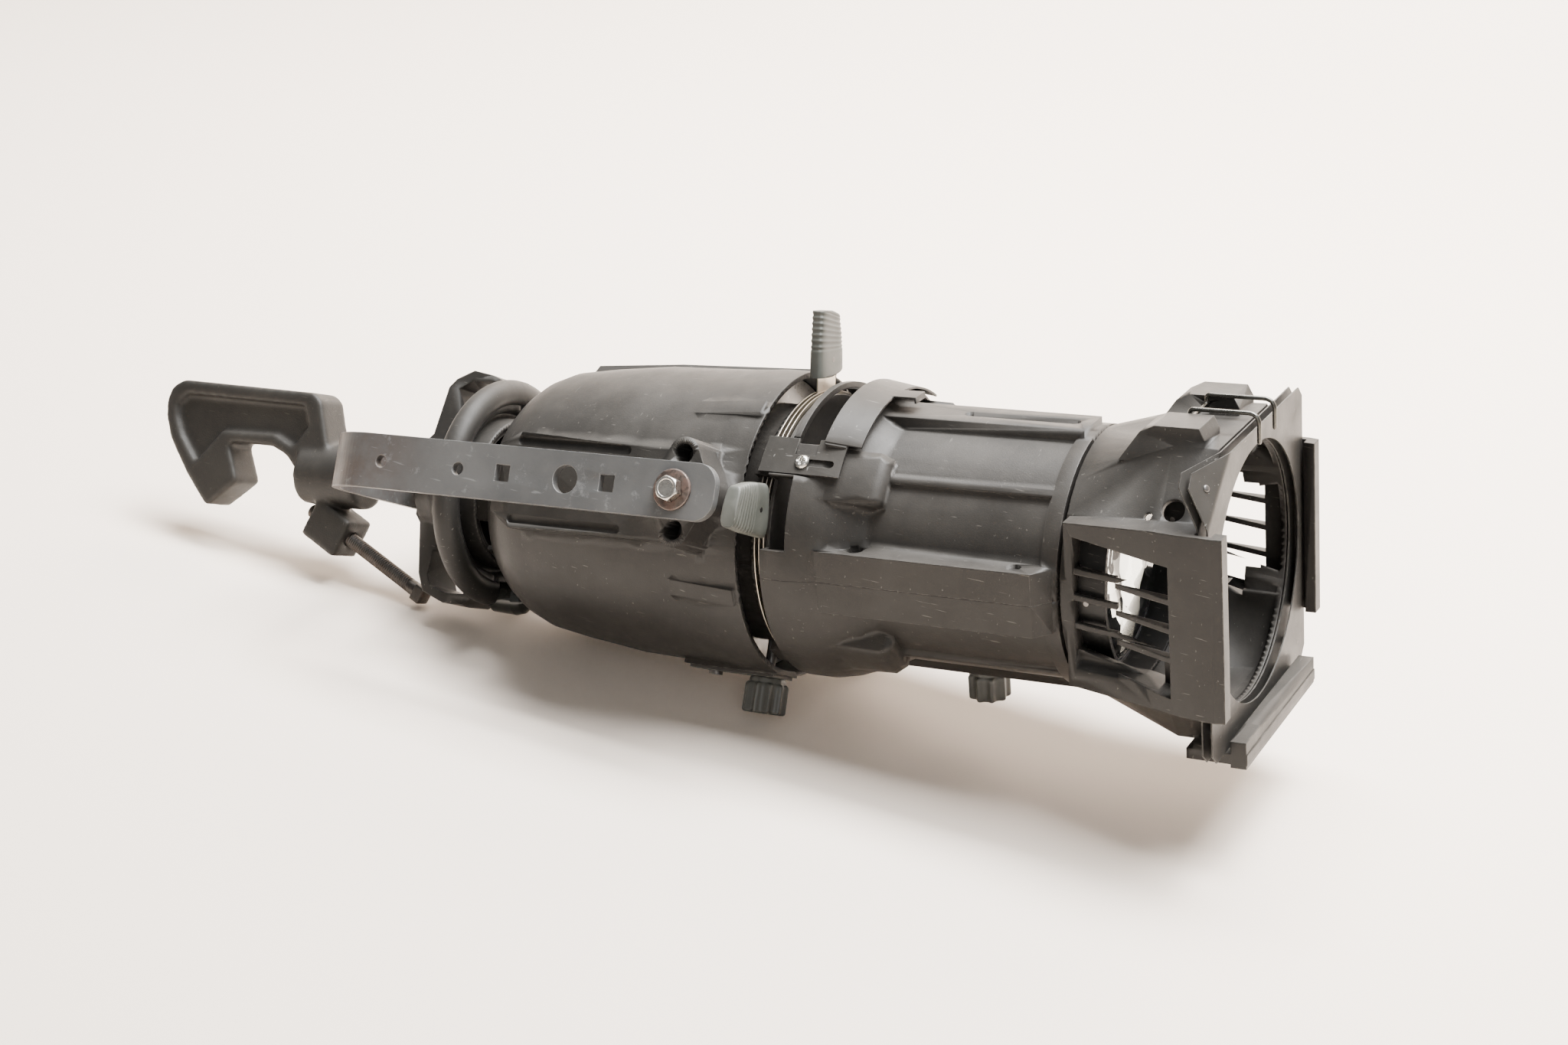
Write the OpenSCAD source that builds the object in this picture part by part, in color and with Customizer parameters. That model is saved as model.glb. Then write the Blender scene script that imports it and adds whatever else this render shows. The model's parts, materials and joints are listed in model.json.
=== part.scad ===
// Ellipsoidal spotlight lying on a bench, millimetres.
// Two working frames are used below, both with X along the optical axis towards the lens:
//   housing frame: origin where the optical axis crosses the yoke pivot axis (Y), Z up;
//   barrel frame: the housing frame turned about X by barrel_turn.
// place() then leans and tips the whole spotlight into its resting pose.

/* [Yoke and clamp] */
// width of the flat bar that the yoke is bent from
strap_w = 31.75; // [28:0.25:34]
// thickness of that bar
strap_t = 5; // [4:0.25:6]
// length of the arms, pivot to the outer face of the crossbar
yoke_reach = 253; // [253:0.5:262]
// outside radius of the two bends of the yoke
bend_r = 50; // [40:1:60]
// diameter of the pipe bolt of the clamp, 3/8 in
pipe_bolt_d = 9.5; // [8:0.1:10.5]
// outside diameter of the largest pipe that the clamp takes
pipe_d = 48.3; // [40:0.1:49]

/* [Housing] */
// radius of the mouth of the reflector housing
mouth_r = 88.5; // [88:0.1:90]
// casting wall of the reflector housing
wall = 3; // [2.4:0.1:3.2]
// outside radius of the rolled rim of the rear cap
cap_rim_r = 70; // [66:0.5:71]
// radius of the fluted rotation knob
turn_knob_r = 12.8; // [10:0.2:13]

/* [Barrel] */
// outside radius of the lens barrel
tube_r = 69.2; // [69:0.1:70]
// front end of the barrel, from the yoke pivot
barrel_end = 207.4; // [204:0.2:208.5]
// radius of the shutter drum
drum_r = 85.5; // [85:0.1:86.2]
// half width of the two side flanges that hold the barrel halves together
flange_y = 82; // [80:0.5:84]
// radius of the fluted focus knob
focus_knob_r = 12.2; // [10:0.2:13]

/* [Shutters] */
// width of a shutter grip
grip_w = 30; // [26:1:31]
// length of a shutter grip along its pull
grip_len = 38; // [36:0.5:39]
// thickness of the stainless blades
blade_t = 0.8; // [0.5:0.05:0.9]

/* [Colour frame] */
// side of the square colour frame, 6.25 in
frame_size = 158.75; // [157:0.25:159.25]
// radius of the hole in the colour frame
frame_hole_r = 70.6; // [66:0.2:72]
// wire diameter of the retaining clip
clip_wire_d = 2.4; // [1.8:0.1:2.8]

/* [Pose] */
// turn of the barrel in the housing, from upright, degrees
barrel_turn = 27.5;
// lean of the housing on the bench, degrees
lean = 27.5;
// nose-up pitch on the bench, degrees
nose_up = 7.5;
// swing of the clamp about its spud, degrees
clamp_pan = 6;

/* [Hidden] */

$fn = 96;
eps = 0.01;

// offsets that put the bottom centre of the bounding box on the row origin
row_x = 70.47;
row_y = -5.28;
row_z = 102.9;

// yoke
arm_out = 118.1;            // outer face of each arm, from the optical axis
arm_in = arm_out - strap_t;
bar_in = yoke_reach - strap_t;
arm_nose = 26;              // how far the arms reach in front of the pivot
pivot_r = 4;                // yoke bolt shank
disc_gap = 0.05;            // running gap beside each friction disc

// housing
mouth_x = 24.9;             // front edge of the housing
plate_x0 = 0;               // bearing plate, rear and front faces
plate_x1 = 4;
plate_r = 84.8;
bore_r = 60;                // bearing bore that the barrel spigot turns in
boss_y = 111.5;             // outer face of the pivot bosses
pad_z = -88.8;              // underside pad for the lock bracket
turn_x = 13.2;              // axis of the rotation knob, along the housing
turn_top = -90.7;
turn_bot = -111.7;

// shutter stack along the barrel, from the rear wall of the barrel to the gate wall
wall_x0 = 28.3;
wall_x1 = 31;
drum_x = 38.5;
gate_x1 = 40.5;
plate_xs = [31.6, 34.4, 37.2];
plate_t = 0.6;
gate_r = 40;
post_angles = [45, 135, 225, 319];   // between the shutter windows
pad_d = 82.4;               // flat pads under the slot cover plates, from the axis
pad_w = 12.2;
pad_angles = [132, 48];

// shutters: angle in the barrel, blade plane, distance of the inner edge, inner end of grip
near_a = 154.5;
top_a = 78;
far_a = 2;
bottom_a = -60.2;
near_x = 35.2;
far_x = 36.2;
top_x = 33.4;
bottom_x = 32.4;
grip_in = 79;

// lens tube and holder
tube_out = 65.9;
tube_in = 62.9;
holder_x0 = 209.5;
holder_face = 286.5;
slot_front = 295.5;
leaf_front = 292.5;
leaf_back = 287.4;
leaf_t = 0.8;
half = frame_size / 2;
focus_x = 133.5;
stud_r = 3;                 // stud of the focus knob
stud_fit = 0.05;            // its clearance in the lens tube
clip_x = 262;
clip_z = 86;
clip_leg_y = 13;
clip_leg_z = 91.5;

// pipe bolt line in the clamp: a point on it and its angle
bolt_px = -313;
bolt_pz = -33.5;
bolt_a = -26.2;
bolt_head_s = 75;           // from that point to the underside of the head
bolt_tip_s = -23;

module place() translate([row_x, row_y, row_z]) rotate([-lean, -nose_up, 0]) children();
module in_barrel() rotate([barrel_turn, 0, 0]) children();
module in_clamp() rotate([clamp_pan, 0, 0]) children();

// local Z becomes +X, local X becomes Y and local Y becomes Z
module along_x(x0 = 0) translate([x0, 0, 0]) rotate([90, 0, 90]) children();
module rod_x(x0, x1, r) along_x(x0) cylinder(h = x1 - x0, r = r);
module tube_x(x0, x1, ro, ri) difference() {
  rod_x(x0, x1, ro);
  rod_x(x0 - 1, x1 + 1, ri);
}
// rod along Y, both limits given
module rod_y(x, z, y0, y1, r) translate([x, y1, z]) rotate([90, 0, 0]) cylinder(h = y1 - y0, r = r);
module rod_z(x, y, z0, z1, r) translate([x, y, z0]) cylinder(h = z1 - z0, r = r);
// outline in X and Z, given thickness about y
module slab_y(y0, y1) translate([0, y1, 0]) rotate([90, 0, 0]) linear_extrude(y1 - y0) children();
// outline of axial position and radius, turned about X over an arc
module turned(pts, a0 = 0, a1 = 360) along_x() rotate([0, 0, a0])
  rotate_extrude(angle = a1 - a0) polygon([for (p = pts) [p[1], p[0]]]);
module arc_block(x0, x1, r0, r1, a0, a1)
  turned([[x0, r0], [x1, r0], [x1, r1], [x0, r1]], a0, a1);
// box standing off the axis at an angle: radial and tangential limits
module at_angle(a) rotate([a, 0, 0]) children();
module radial_box(x0, x1, d0, d1, t0, t1) translate([x0, d0, t0]) cube([x1 - x0, d1 - d0, t1 - t0]);
module hex_y(x, z, y0, y1, af) translate([x, y1, z]) rotate([90, 0, 0])
  linear_extrude(y1 - y0) circle(r = af / sqrt(3), $fn = 6);

// ---------------------------------------------------------------- reflector housing
hx = mouth_r - 88.5;
shell_out = [[-196, 43], [-170, 43], [-165, 50], [-157.6, 61], [-150.5, 67.8], [-142, 73.5],
  [-130, 78.1], [-107.9, 81.3], [-70.2, 85.4], [-46.7, 86], [-15.9, 87 + hx],
  [6.6, mouth_r], [mouth_x, mouth_r]];
shell_in = [[mouth_x, 85.6], [plate_x1, 85.6], [plate_x1, 84.9], [plate_x0, 84.9],
  [plate_x0, 83.5], [-15.9, 83.5], [-44.8, 86 - wall], [-44.8, 78], [-48, 78], [-48, 86 - wall],
  [-70, 85.4 - wall], [-107.7, 81.3 - wall], [-129.3, 78.1 - wall], [-140.5, 73.5 - wall],
  [-148.5, 67.8 - wall], [-155, 61 - wall], [-162.2, 50 - wall], [-167.5, 40], [-196, 40]];

module pivot_boss_shape() {
  circle(r = 19);
  for (s = [-1, 1]) translate([0, 21 * s]) circle(r = 9.5);
  for (s = [-1, 1]) polygon([[-17.8, 6.6 * s], [17.8, 6.6 * s], [8.9, 24.3 * s], [-8.9, 24.3 * s]]);
}
module side_pad(s) mirror([0, s > 0 ? 0 : 1, 0]) {
  difference() {
    slab_y(70, 91) polygon([[-134, -19], [-120, -28], [10, -26], [10, 26], [-120, 28], [-134, 19]]);
    for (k = [-1, 1]) {
      slab_y(89.2, 92) slot_shape(-122, -46, 22.5 * k, 2.6);
    }
  }
  slab_y(70, boss_y) pivot_boss_shape();
}
// round ended slot between two X positions
module slot_shape(x0, x1, z, r) {
  translate([x0 + r, z]) circle(r = r, $fn = 32);
  translate([x1 - r, z]) circle(r = r, $fn = 32);
  translate([x0 + r, z - r]) square([x1 - x0 - 2 * r, 2 * r]);
}
module housing_inside() turned(concat(shell_in, [[-196, 0], [mouth_x, 0]]));
module reflector_housing() color([0.12, 0.11, 0.11]) place() {
  difference() {
    union() {
      turned(concat(shell_out, [[mouth_x, 0], [-196, 0]]));
      for (s = [-1, 1]) side_pad(s);
      // flat rib along the top
      slab_y(-7, 7) polygon([[-134, 74], [-128, 82.5], [-70, 87], [-20, 88.6], [mouth_x, 90], [mouth_x, 80],
        [-128, 70]]);
      // wedge facets near the mouth
      for (a = [38, 142, 215, 325]) at_angle(a)
        slab_t(-5, 5) polygon([[-22, 84], [mouth_x - 2, 84], [mouth_x - 2, 91.5], [-22, 86.6]]);
      // pad for the lock bracket
      translate([-36, -13, pad_z]) cube([mouth_x + 36, 26, 10]);
    }
    housing_inside();
    // pivot bolt threads and the sockets above and below the arms
    for (s = [-1, 1]) {
      rod_y(0, 0, s > 0 ? 92 : -boss_y - 1, s > 0 ? boss_y + 1 : -92, pivot_r);
      for (k = [-1, 1]) rod_y(0, 21 * k, s > 0 ? 96 : -boss_y - 1, s > 0 ? boss_y + 1 : -96, 5.6);
    }
    // vent openings round the shoulder
    for (a = [45, 135, 225, 315]) arc_block(-179, -158.5, 30, 62, a - 15, a + 15);
    // rotation knob stud and bracket screw
    rod_z(turn_x, 0, pad_z - 1, -80, 3.3);
    rod_z(-21.5, 0, pad_z - 1, pad_z + 4.5, 2);
    for (a = [90, 270]) at_angle(a) rod_y(-184, 0, 38, 44, 1.8);
  }
}
// outline in X and radius, thickness t0 to t1 across, standing on the +Y side
module slab_t(t0, t1) translate([0, 0, t0]) linear_extrude(t1 - t0) children();

module bearing_plate() color([0.16, 0.16, 0.16]) place() difference() {
  rod_x(plate_x0, plate_x1, plate_r);
  rod_x(plate_x0 - 1, plate_x1 + 1, bore_r);
  for (a = [20, 110, 200, 290]) at_angle(a) translate([plate_x0 - 1, 79.5, 0]) along_x() cylinder(h = 6, r = 2);
}
module bearing_plate_screws() color([0.5, 0.5, 0.5]) place() for (a = [20, 110, 200, 290]) at_angle(a) {
  translate([plate_x0, 79.5, 0]) along_x() cylinder(h = 4, r = 2);
  translate([plate_x1, 79.5, 0]) along_x() cylinder(h = 2.4, r = 3.8);
}

// ---------------------------------------------------------------- rear cap and lamp
rim_c = cap_rim_r - 8;
module loop_outline() {
  difference() {
    union() {
      polygon([[-240, 0], [-240, 27], [-236, 31], [-230, 61], [-225, 66.5], [-213, 72.5], [-199, 70.5],
        [-186, rim_c + 4], [-186, rim_c - 4], [-205, 44], [-214, 30], [-214, 0]]);
      polygon([[-240, 0], [-240, -20], [-236, -25], [-231, -56], [-226, -67], [-210, -72.5],
        [-196, -72], [-186, -rim_c - 4], [-186, -rim_c + 4], [-205, -44], [-214, -30], [-214, 0]]);
    }
    polygon([[-217.5, 34], [-222.5, 60.5], [-212.5, 66.5], [-199.5, 64.5], [-193, 59], [-204, 51], [-212.5, 40]]);
    polygon([[-219, -30], [-223, -41], [-224.5, -56], [-221.5, -63], [-209, -66.5], [-196, -65.8],
      [-192.5, -60], [-204, -50.5], [-212, -38]]);
  }
}
module rear_cap() color([0.1, 0.1, 0.1]) place() difference() {
  union() {
    slab_y(-15, 15) loop_outline();
    turned([[-240, 0], [-240, 22], [-236, 27], [-222, 31], [-213, 40], [-205, 49], [-196, 54], [-189, rim_c - 6],
      [-184, rim_c - 6], [-184, rim_c - 10], [-190, 49], [-190, 46], [-178, 46], [-178, 43.05],
      [-194, 43.05], [-202, 43.05], [-210, 33], [-217, 25], [-232, 22], [-236, 18], [-236, 0]]);
    // rolled rim
    along_x(-187) rotate_extrude() translate([rim_c, 0]) circle(r = 8, $fn = 48);
  }
  // room inside for the lamp and the neck of the housing
  turned([[-236, 0], [-236, 18], [-232, 22], [-217, 25], [-210, 33], [-202, 43.05], [-177, 43.05], [-177, 0]]);
  for (a = [90, 270]) at_angle(a) translate([-184, 0, 0]) rod_y(0, 0, 38, 70, 1.8);
}
module cap_screws() color([0.35, 0.35, 0.35]) place() for (a = [90, 270]) at_angle(a) {
  rod_y(-184, 0, 40.2, 46, 1.8);
}
module lamp_socket() color([0.85, 0.83, 0.78]) place() difference() {
  rod_x(-236, -206, 16);
  rod_x(-216, -205, 9);
}
module lamp_base() color([0.7, 0.7, 0.72]) place() {
  rod_x(-216, -206, 8.9);
  rod_x(-206, -200, 15);
  for (k = [0 : 4]) rod_x(-200 + 3.6 * k, -198 + 3.6 * k, 15);
  rod_x(-200, -180, 11);
}
module lamp_bulb() color([0.9, 0.95, 1, 0.4]) place() difference() {
  turned([[-180, 0], [-180, 9.5], [-118, 9.5], [-112, 8.2], [-107.5, 5], [-105.5, 1.6], [-105.5, 0]]);
  turned([[-177, 0], [-177, 8.3], [-118.4, 8.3], [-113, 7], [-109, 4.4], [-107.2, 1.4], [-107.2, 0]]);
}
// ellipse whose foci are the lamp filament and the gate
ell_a = 105;
ell_b = 68;
ell_c = -45;
function ell(x, k) = (ell_b + k) * sqrt(max(0, 1 - pow((x - ell_c) / (ell_a + k), 2)));
ell_xs = [-143, -140, -136, -131, -125, -117, -108, -98, -86, -72, -58, -44.8];
module reflector() color([0.9, 0.9, 0.92]) place() difference() {
  turned(concat([for (x = ell_xs) [x, ell(x, 1.2)]], [[-44.8, 81.5], [-43.6, 81.5], [-43.6, ell(-44.8, 0)]],
    [for (i = [len(ell_xs) - 1 : -1 : 0]) [ell_xs[i], ell(ell_xs[i], 0)]]));
}
module reflector_clips() color([0.6, 0.6, 0.6]) place() for (a = [30, 150, 270]) at_angle(a) {
  radial_box(-43.6, -42.6, 75, 82.8, -6, 6);
}
module cord_gland() color([0.03, 0.03, 0.03]) place() difference() {
  translate([0, 8, -63.5]) turned([[-186, 0], [-186, 9.5], [-170, 10], [-165, 8.5], [-161.5, 5], [-160.5, 0]]);
  along_x(-187) rotate_extrude() translate([rim_c, 0]) circle(r = 8, $fn = 48);
}

// ---------------------------------------------------------------- rotation lock
module lock_bracket() color([0.25, 0.25, 0.25]) place() difference() {
  translate([-32.5, -12, pad_z - 1.9]) cube([55, 24, 1.9]);
  rod_z(turn_x, 0, pad_z - 3, pad_z + 1, 3.1);
  rod_z(-21.5, 0, pad_z - 3, pad_z + 1, 2);
}
module bracket_screw() color([0.6, 0.6, 0.6]) place() {
  rod_z(-21.5, 0, pad_z - 1.9, pad_z + 4.4, 1.95);
  rod_z(-21.5, 0, pad_z - 4.1, pad_z - 1.9, 4);
}
module fluted(z0, z1, r, n) difference() {
  cylinder_between(z0, z1, r);
  for (i = [0 : n - 1]) rotate([0, 0, 360 / n * i]) translate([r + 1.4, 0, min(z0, z1) - 1])
    cylinder(h = abs(z1 - z0) - 3, r = 2.6, $fn = 24);
}
module cylinder_between(z0, z1, r) translate([0, 0, min(z0, z1)]) cylinder(h = abs(z1 - z0), r = r);
module rotation_knob() color([0.13, 0.14, 0.13]) place() translate([turn_x, 0, 0]) difference() {
  fluted(turn_bot, turn_top, turn_knob_r, 10);
  rod_z(0, 0, turn_top - 12, turn_top + 1, 3);
}
module rotation_stud() color([0.6, 0.6, 0.6]) place() rod_z(turn_x, 0, turn_top - 12, -69.1, 3);

// ---------------------------------------------------------------- yoke
module yoke_bolts() color([0.75, 0.75, 0.72]) place() for (s = [-1, 1]) mirror([0, s > 0 ? 0 : 1, 0]) {
  rod_y(0, 0, 92, arm_out + 1.8, pivot_r);
  hex_y(0, 0, arm_out + 1.8, arm_out + 8, 12.7);
}
module yoke_washers() color([0.45, 0.33, 0.3]) place() for (s = [-1, 1]) mirror([0, s > 0 ? 0 : 1, 0])
  difference() {
    rod_y(0, 0, arm_out, arm_out + 1.8, 11.5);
    rod_y(0, 0, arm_out - 1, arm_out + 3, pivot_r);
  }
module friction_discs() color([0.2, 0.2, 0.2]) place() for (s = [-1, 1]) mirror([0, s > 0 ? 0 : 1, 0])
  difference() {
    rod_y(0, 0, boss_y, arm_in - disc_gap, 16);
    rod_y(0, 0, boss_y - 1, arm_in + 1, pivot_r);
  }
square_holes = [42.2, 111.2];
module arm_outline() difference() {
  union() {
    translate([-yoke_reach + bend_r, -strap_w / 2]) square([yoke_reach - bend_r + arm_nose - 12, strap_w]);
    translate([arm_nose - 12, -strap_w / 2 + 12]) square([12, strap_w - 24]);
    for (s = [-1, 1]) translate([arm_nose - 12, s * (strap_w / 2 - 12)]) circle(r = 12);
  }
  circle(r = pivot_r + 0.08);
  for (d = square_holes) translate([-d - 4.75, -4.75]) square(9.5);
  translate([-69.3, 0]) circle(r = 8);
  for (d = [141.7, 195.4]) translate([-d, 0]) circle(r = 3.75);
}
// the yoke is one bent bar; its two straight arms and the rest are separate nodes that meet face
// to face where the bends begin, so that each is a simple form
module yoke_far_arm() color([0.3, 0.3, 0.3]) place() slab_y(arm_in, arm_out) arm_outline();
module yoke_near_arm() color([0.3, 0.3, 0.3]) place() mirror([0, 1, 0]) slab_y(arm_in, arm_out) arm_outline();
module yoke_strap() color([0.3, 0.3, 0.3]) place() {
  for (s = [-1, 1]) mirror([0, s > 0 ? 0 : 1, 0])
    translate([-yoke_reach + bend_r, arm_out - bend_r, -strap_w / 2]) rotate([0, 0, 90])
      rotate_extrude(angle = 90) translate([bend_r - strap_t, 0]) square([strap_t, strap_w]);
  difference() {
    translate([-yoke_reach, -arm_out + bend_r, -strap_w / 2])
      cube([strap_t, 2 * (arm_out - bend_r), strap_w]);
    rod_x(-yoke_reach - 1, -bar_in + 1, 6.4);
  }
}
spud_r = 9.5;
module spud() color([0.55, 0.55, 0.55]) place() difference() {
  rod_x(-330, -yoke_reach, spud_r);
  rod_x(-yoke_reach - 20, -yoke_reach + 1, 6.35);
}
module spud_bolt() color([0.5, 0.5, 0.5]) place() {
  rod_x(-yoke_reach - 20, -bar_in, 6.35);
  rod_x(-bar_in, -bar_in + 4.2, 11);
}

// ---------------------------------------------------------------- clamp
boss_x0 = -338;
boss_x1 = -291;
boss_r = 20;
// jaw face set so that the largest pipe just passes the boss
jaw_x = boss_x0 - pipe_d - 0.7;
module hook_outline() polygon([[-326, 47], [-332, 51.5], [-440, 53], [-449, 48], [-453, 39], [-452, 28], [-447, 14],
  [-430, -9], [-412, -28], [jaw_x - 1, -10], [jaw_x - 10.5, 13], [jaw_x - 8, 15], [-362, 15], [-350, 10],
  [boss_x0 - 4, 2], [boss_x0, -4], [boss_x0, -14], [-310, -14], [-318, 20]]);
module web_outline() polygon([[-334, 30], [-338, 43], [-436, 44], [-444, 37], [-443, 28], [-438, 17], [-424, 0],
  [-404, 22], [-360, 23], [-345, 16]]);
module on_bolt() translate([bolt_px, 0, bolt_pz]) rotate([0, 90 - bolt_a, 0]) children();
module clamp_hook() color([0.07, 0.07, 0.07]) place() in_clamp() difference() {
  union() {
    slab_y(-13, 13) hook_outline();
    rod_x(boss_x0, boss_x1, boss_r);
    on_bolt() translate([-13, -13, -15]) cube([26, 26, 30]);
  }
  // recessed web on both faces
  for (s = [-1, 1]) mirror([0, s > 0 ? 0 : 1, 0]) slab_y(8, 14) web_outline();
  // teeth of the jaw
  for (k = [0 : 5]) translate([jaw_x - 1.6 - 1.6 * k, 0, -7.5 + 3.5 * k]) rotate([0, 22, 0])
    translate([-0.2, -14, 0]) cube([1.4, 28, 1.2]);
  rod_x(-330, boss_x1 + 1, spud_r + 0.05);
  on_bolt() translate([0, 0, -60]) cylinder(h = 90, r = pipe_bolt_d / 2 + 0.05);
  rod_y(-315, 0, 5, 25, 3.05);
}
module pipe_bolt() color([0.1, 0.1, 0.1]) place() in_clamp() on_bolt() {
  translate([0, 0, bolt_tip_s]) cylinder(h = bolt_head_s - bolt_tip_s, r = pipe_bolt_d / 2);
  translate([-pipe_bolt_d / 2 - 0.8, -pipe_bolt_d / 2 - 0.8, bolt_head_s])
    cube([pipe_bolt_d + 1.6, pipe_bolt_d + 1.6, 8]);
}
module set_screw() color([0.35, 0.35, 0.35]) place() in_clamp() {
  rod_y(-315, 0, spud_r, 22, 3);
  translate([-319, 22, -4]) cube([8, 7, 8]);
}

// ---------------------------------------------------------------- barrel
drum_out = [[drum_x, drum_r], [54, drum_r], [66, drum_r - 2.5], [77.2, drum_r - 6.5], [88, 74.5], [98.8, tube_r],
  [197, tube_r], [199, 71.9], [barrel_end, 71.9]];
drum_in = [[barrel_end, 66], [97, 66], [77, 75.5], [64, 79.5], [gate_x1, 82]];
module barrel_shell() {
  turned(concat(drum_out, drum_in, [[gate_x1, gate_r], [drum_x, gate_r]]));
  // collar, rear wall and posts
  turned([[plate_x1, 66], [wall_x0, 66], [wall_x0, 42], [wall_x1, 42], [wall_x1, 76.1], [wall_x0, 76.1],
    [wall_x0, 69], [plate_x1, 69]]);
  turned([[-2, 56.5], [plate_x1 + 4, 56.5], [plate_x1 + 4, 66.5], [plate_x1, 66.5], [plate_x1, bore_r - 0.06],
    [-2, bore_r - 0.06]]);
  for (a = post_angles) arc_block(wall_x0, drum_x + 0.5, 75, 82.2, a - 5.5, a + 5.5);
  // top and bottom rails, side ridges
  for (s = [-1, 1]) translate([84, -13, s > 0 ? 60 : -75]) cube([119, 26, 15]);
  for (a = [133.5, 46.5, 226.5, 313.5]) at_angle(a) radial_box(92, 204, 64, 71.6, -2.6, 2.6);
  // shoulder lugs
  for (a = [137, 43, 223, 317]) arc_lug(a);
  // side flanges
  for (s = [-1, 1]) mirror([0, s > 0 ? 0 : 1, 0]) translate([0, 0, -17.8]) linear_extrude(35.6)
    polygon([[66, 60], [66, flange_y - 4], [72, flange_y], [197, flange_y], [205, flange_y - 9], [205, 60]]);
}
module arc_lug(a) turned([[64, 74], [64, 81], [99, 80], [105, 75], [105, 66.2], [97, 66.2]], a - 11, a + 11);
module barrel_cuts() {
  // inner bore for the lens tube and the drum room
  turned(concat([[barrel_end + 1, 0], [barrel_end + 1, 66]], [for (i = [1 : len(drum_in) - 1]) drum_in[i]],
    [[gate_x1, 0]]));
  rod_x(-3, 50, 40);
  // accessory slot over the top, with the rib left standing
  difference() {
    arc_block(drum_x - 1, 66.5, 76.5, 90, 54, 126);
    arc_block(46, 49.5, 79, drum_r - 1, 50, 130);
  }
  // pockets beside the grips
  arc_block(wall_x0 - 1, 54, 77, 90, 141, 169);
  arc_block(wall_x1, 54, 77, 90, -12, 17);
  // flat pads under the slot cover, and the holes of its screws
  for (a = pad_angles) at_angle(a) {
    radial_box(26, 82, pad_d, 95, -pad_w, pad_w);
    translate([56, 0, a > 90 ? 3.6 : -3.6]) rod_y(0, 0, 74, 90, 2);
  }
  // gate plates sit in grooves of the posts
  for (x = plate_xs) rod_x(x, x + plate_t, 79);
  // long slot in the top rail, focus slot in the bottom rail
  translate([0, 0, 70.6]) linear_extrude(6) slot_shape(128, 196, 0, 3.6);
  translate([0, 0, -80]) linear_extrude(20) slot_shape(focus_x - 3.4, focus_x + 36, 0, 3.4);
  // screw holes of the flanges
  for (s = [-1, 1], x = [92.4, 184.7]) {
    rod_z(x, 74 * s, -19, 19, 2.5);
    rod_z(x, 74 * s, 12, 19, 4.4);
    rod_z(x, 74 * s, -19, -13, 4.2);
  }
}
module barrel_half(s) in_barrel() intersection() {
  difference() {
    barrel_shell();
    barrel_cuts();
  }
  translate([-10, -100, s > 0 ? 0 : -100]) cube([230, 200, 100]);
}
module barrel_upper() color([0.14, 0.13, 0.13]) place() barrel_half(1);
module barrel_lower() color([0.14, 0.13, 0.13]) place() barrel_half(-1);
module barrel_screws() color([0.3, 0.3, 0.3]) place() in_barrel() for (s = [-1, 1], x = [92.4, 184.7]) {
  rod_z(x, 74 * s, -13, 12, 2.5);
  rod_z(x, 74 * s, 12, 15.5, 4);
  rod_z(x, 74 * s, -16.5, -13, 3.9);
}
module bearing_ring() color([0.4, 0.4, 0.4]) place() in_barrel() difference() {
  rod_x(-2, plate_x0 - 0.05, 64);
  rod_x(-3, plate_x0 + 1, bore_r - 0.06);
}
module gate_plates() color([0.75, 0.7, 0.6]) place() in_barrel() for (x = plate_xs)
  tube_x(x, x + plate_t, 78.6, 43);

// ---------------------------------------------------------------- slot cover
cover_t = 1.5;
module cover_plate(s) {
  // s is +1 for the near plate; tangential direction runs towards the parting line
  radial_box(31, 50, pad_d, pad_d + cover_t, -11, 11);
  radial_box(50, 63, pad_d, pad_d + cover_t, s > 0 ? -1 : -11, s > 0 ? 11 : 1);
  radial_box(63, 80, pad_d, pad_d + cover_t, -11, 11);
}
module slot_cover() color([0.2, 0.2, 0.2]) place() in_barrel() {
  difference() {
    union() {
      for (a = pad_angles) at_angle(a) cover_plate(a > 90 ? 1 : -1);
      // band over the top
      turned([[67, 86], [88, 82.8], [88, 84], [67, 87.2]], 54, 126);
      // steps that carry the band down to the plates
      for (a = [[121.5, 127.3], [52.7, 58.5]]) turned([[67.6, pad_d + 0.5], [79.4, pad_d + 0.5], [79.4, 84.7],
        [67.6, 86.5]], a[0], a[1]);
      // thumb tab
      translate([86.5, -6, 82.9]) cube([15, 12, 1.1]);
      translate([100.4, -6, 80.4]) cube([1.1, 12, 3.6]);
    }
    for (a = pad_angles) at_angle(a) translate([0, 95, a > 90 ? 3.6 : -3.6]) rotate([90, 0, 0])
      linear_extrude(20) slot_shape(56 - 2.2, 73 + 2.2, 0, 2.2);
  }
}
module slot_screws() color([0.8, 0.8, 0.8]) place() in_barrel() for (a = pad_angles) at_angle(a)
  translate([56, 0, a > 90 ? 3.6 : -3.6]) {
    rod_y(0, 0, 78.5, pad_d + cover_t, 2);
    rod_y(0, 0, pad_d + cover_t, pad_d + cover_t + 2.4, 4.2);
  }

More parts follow.
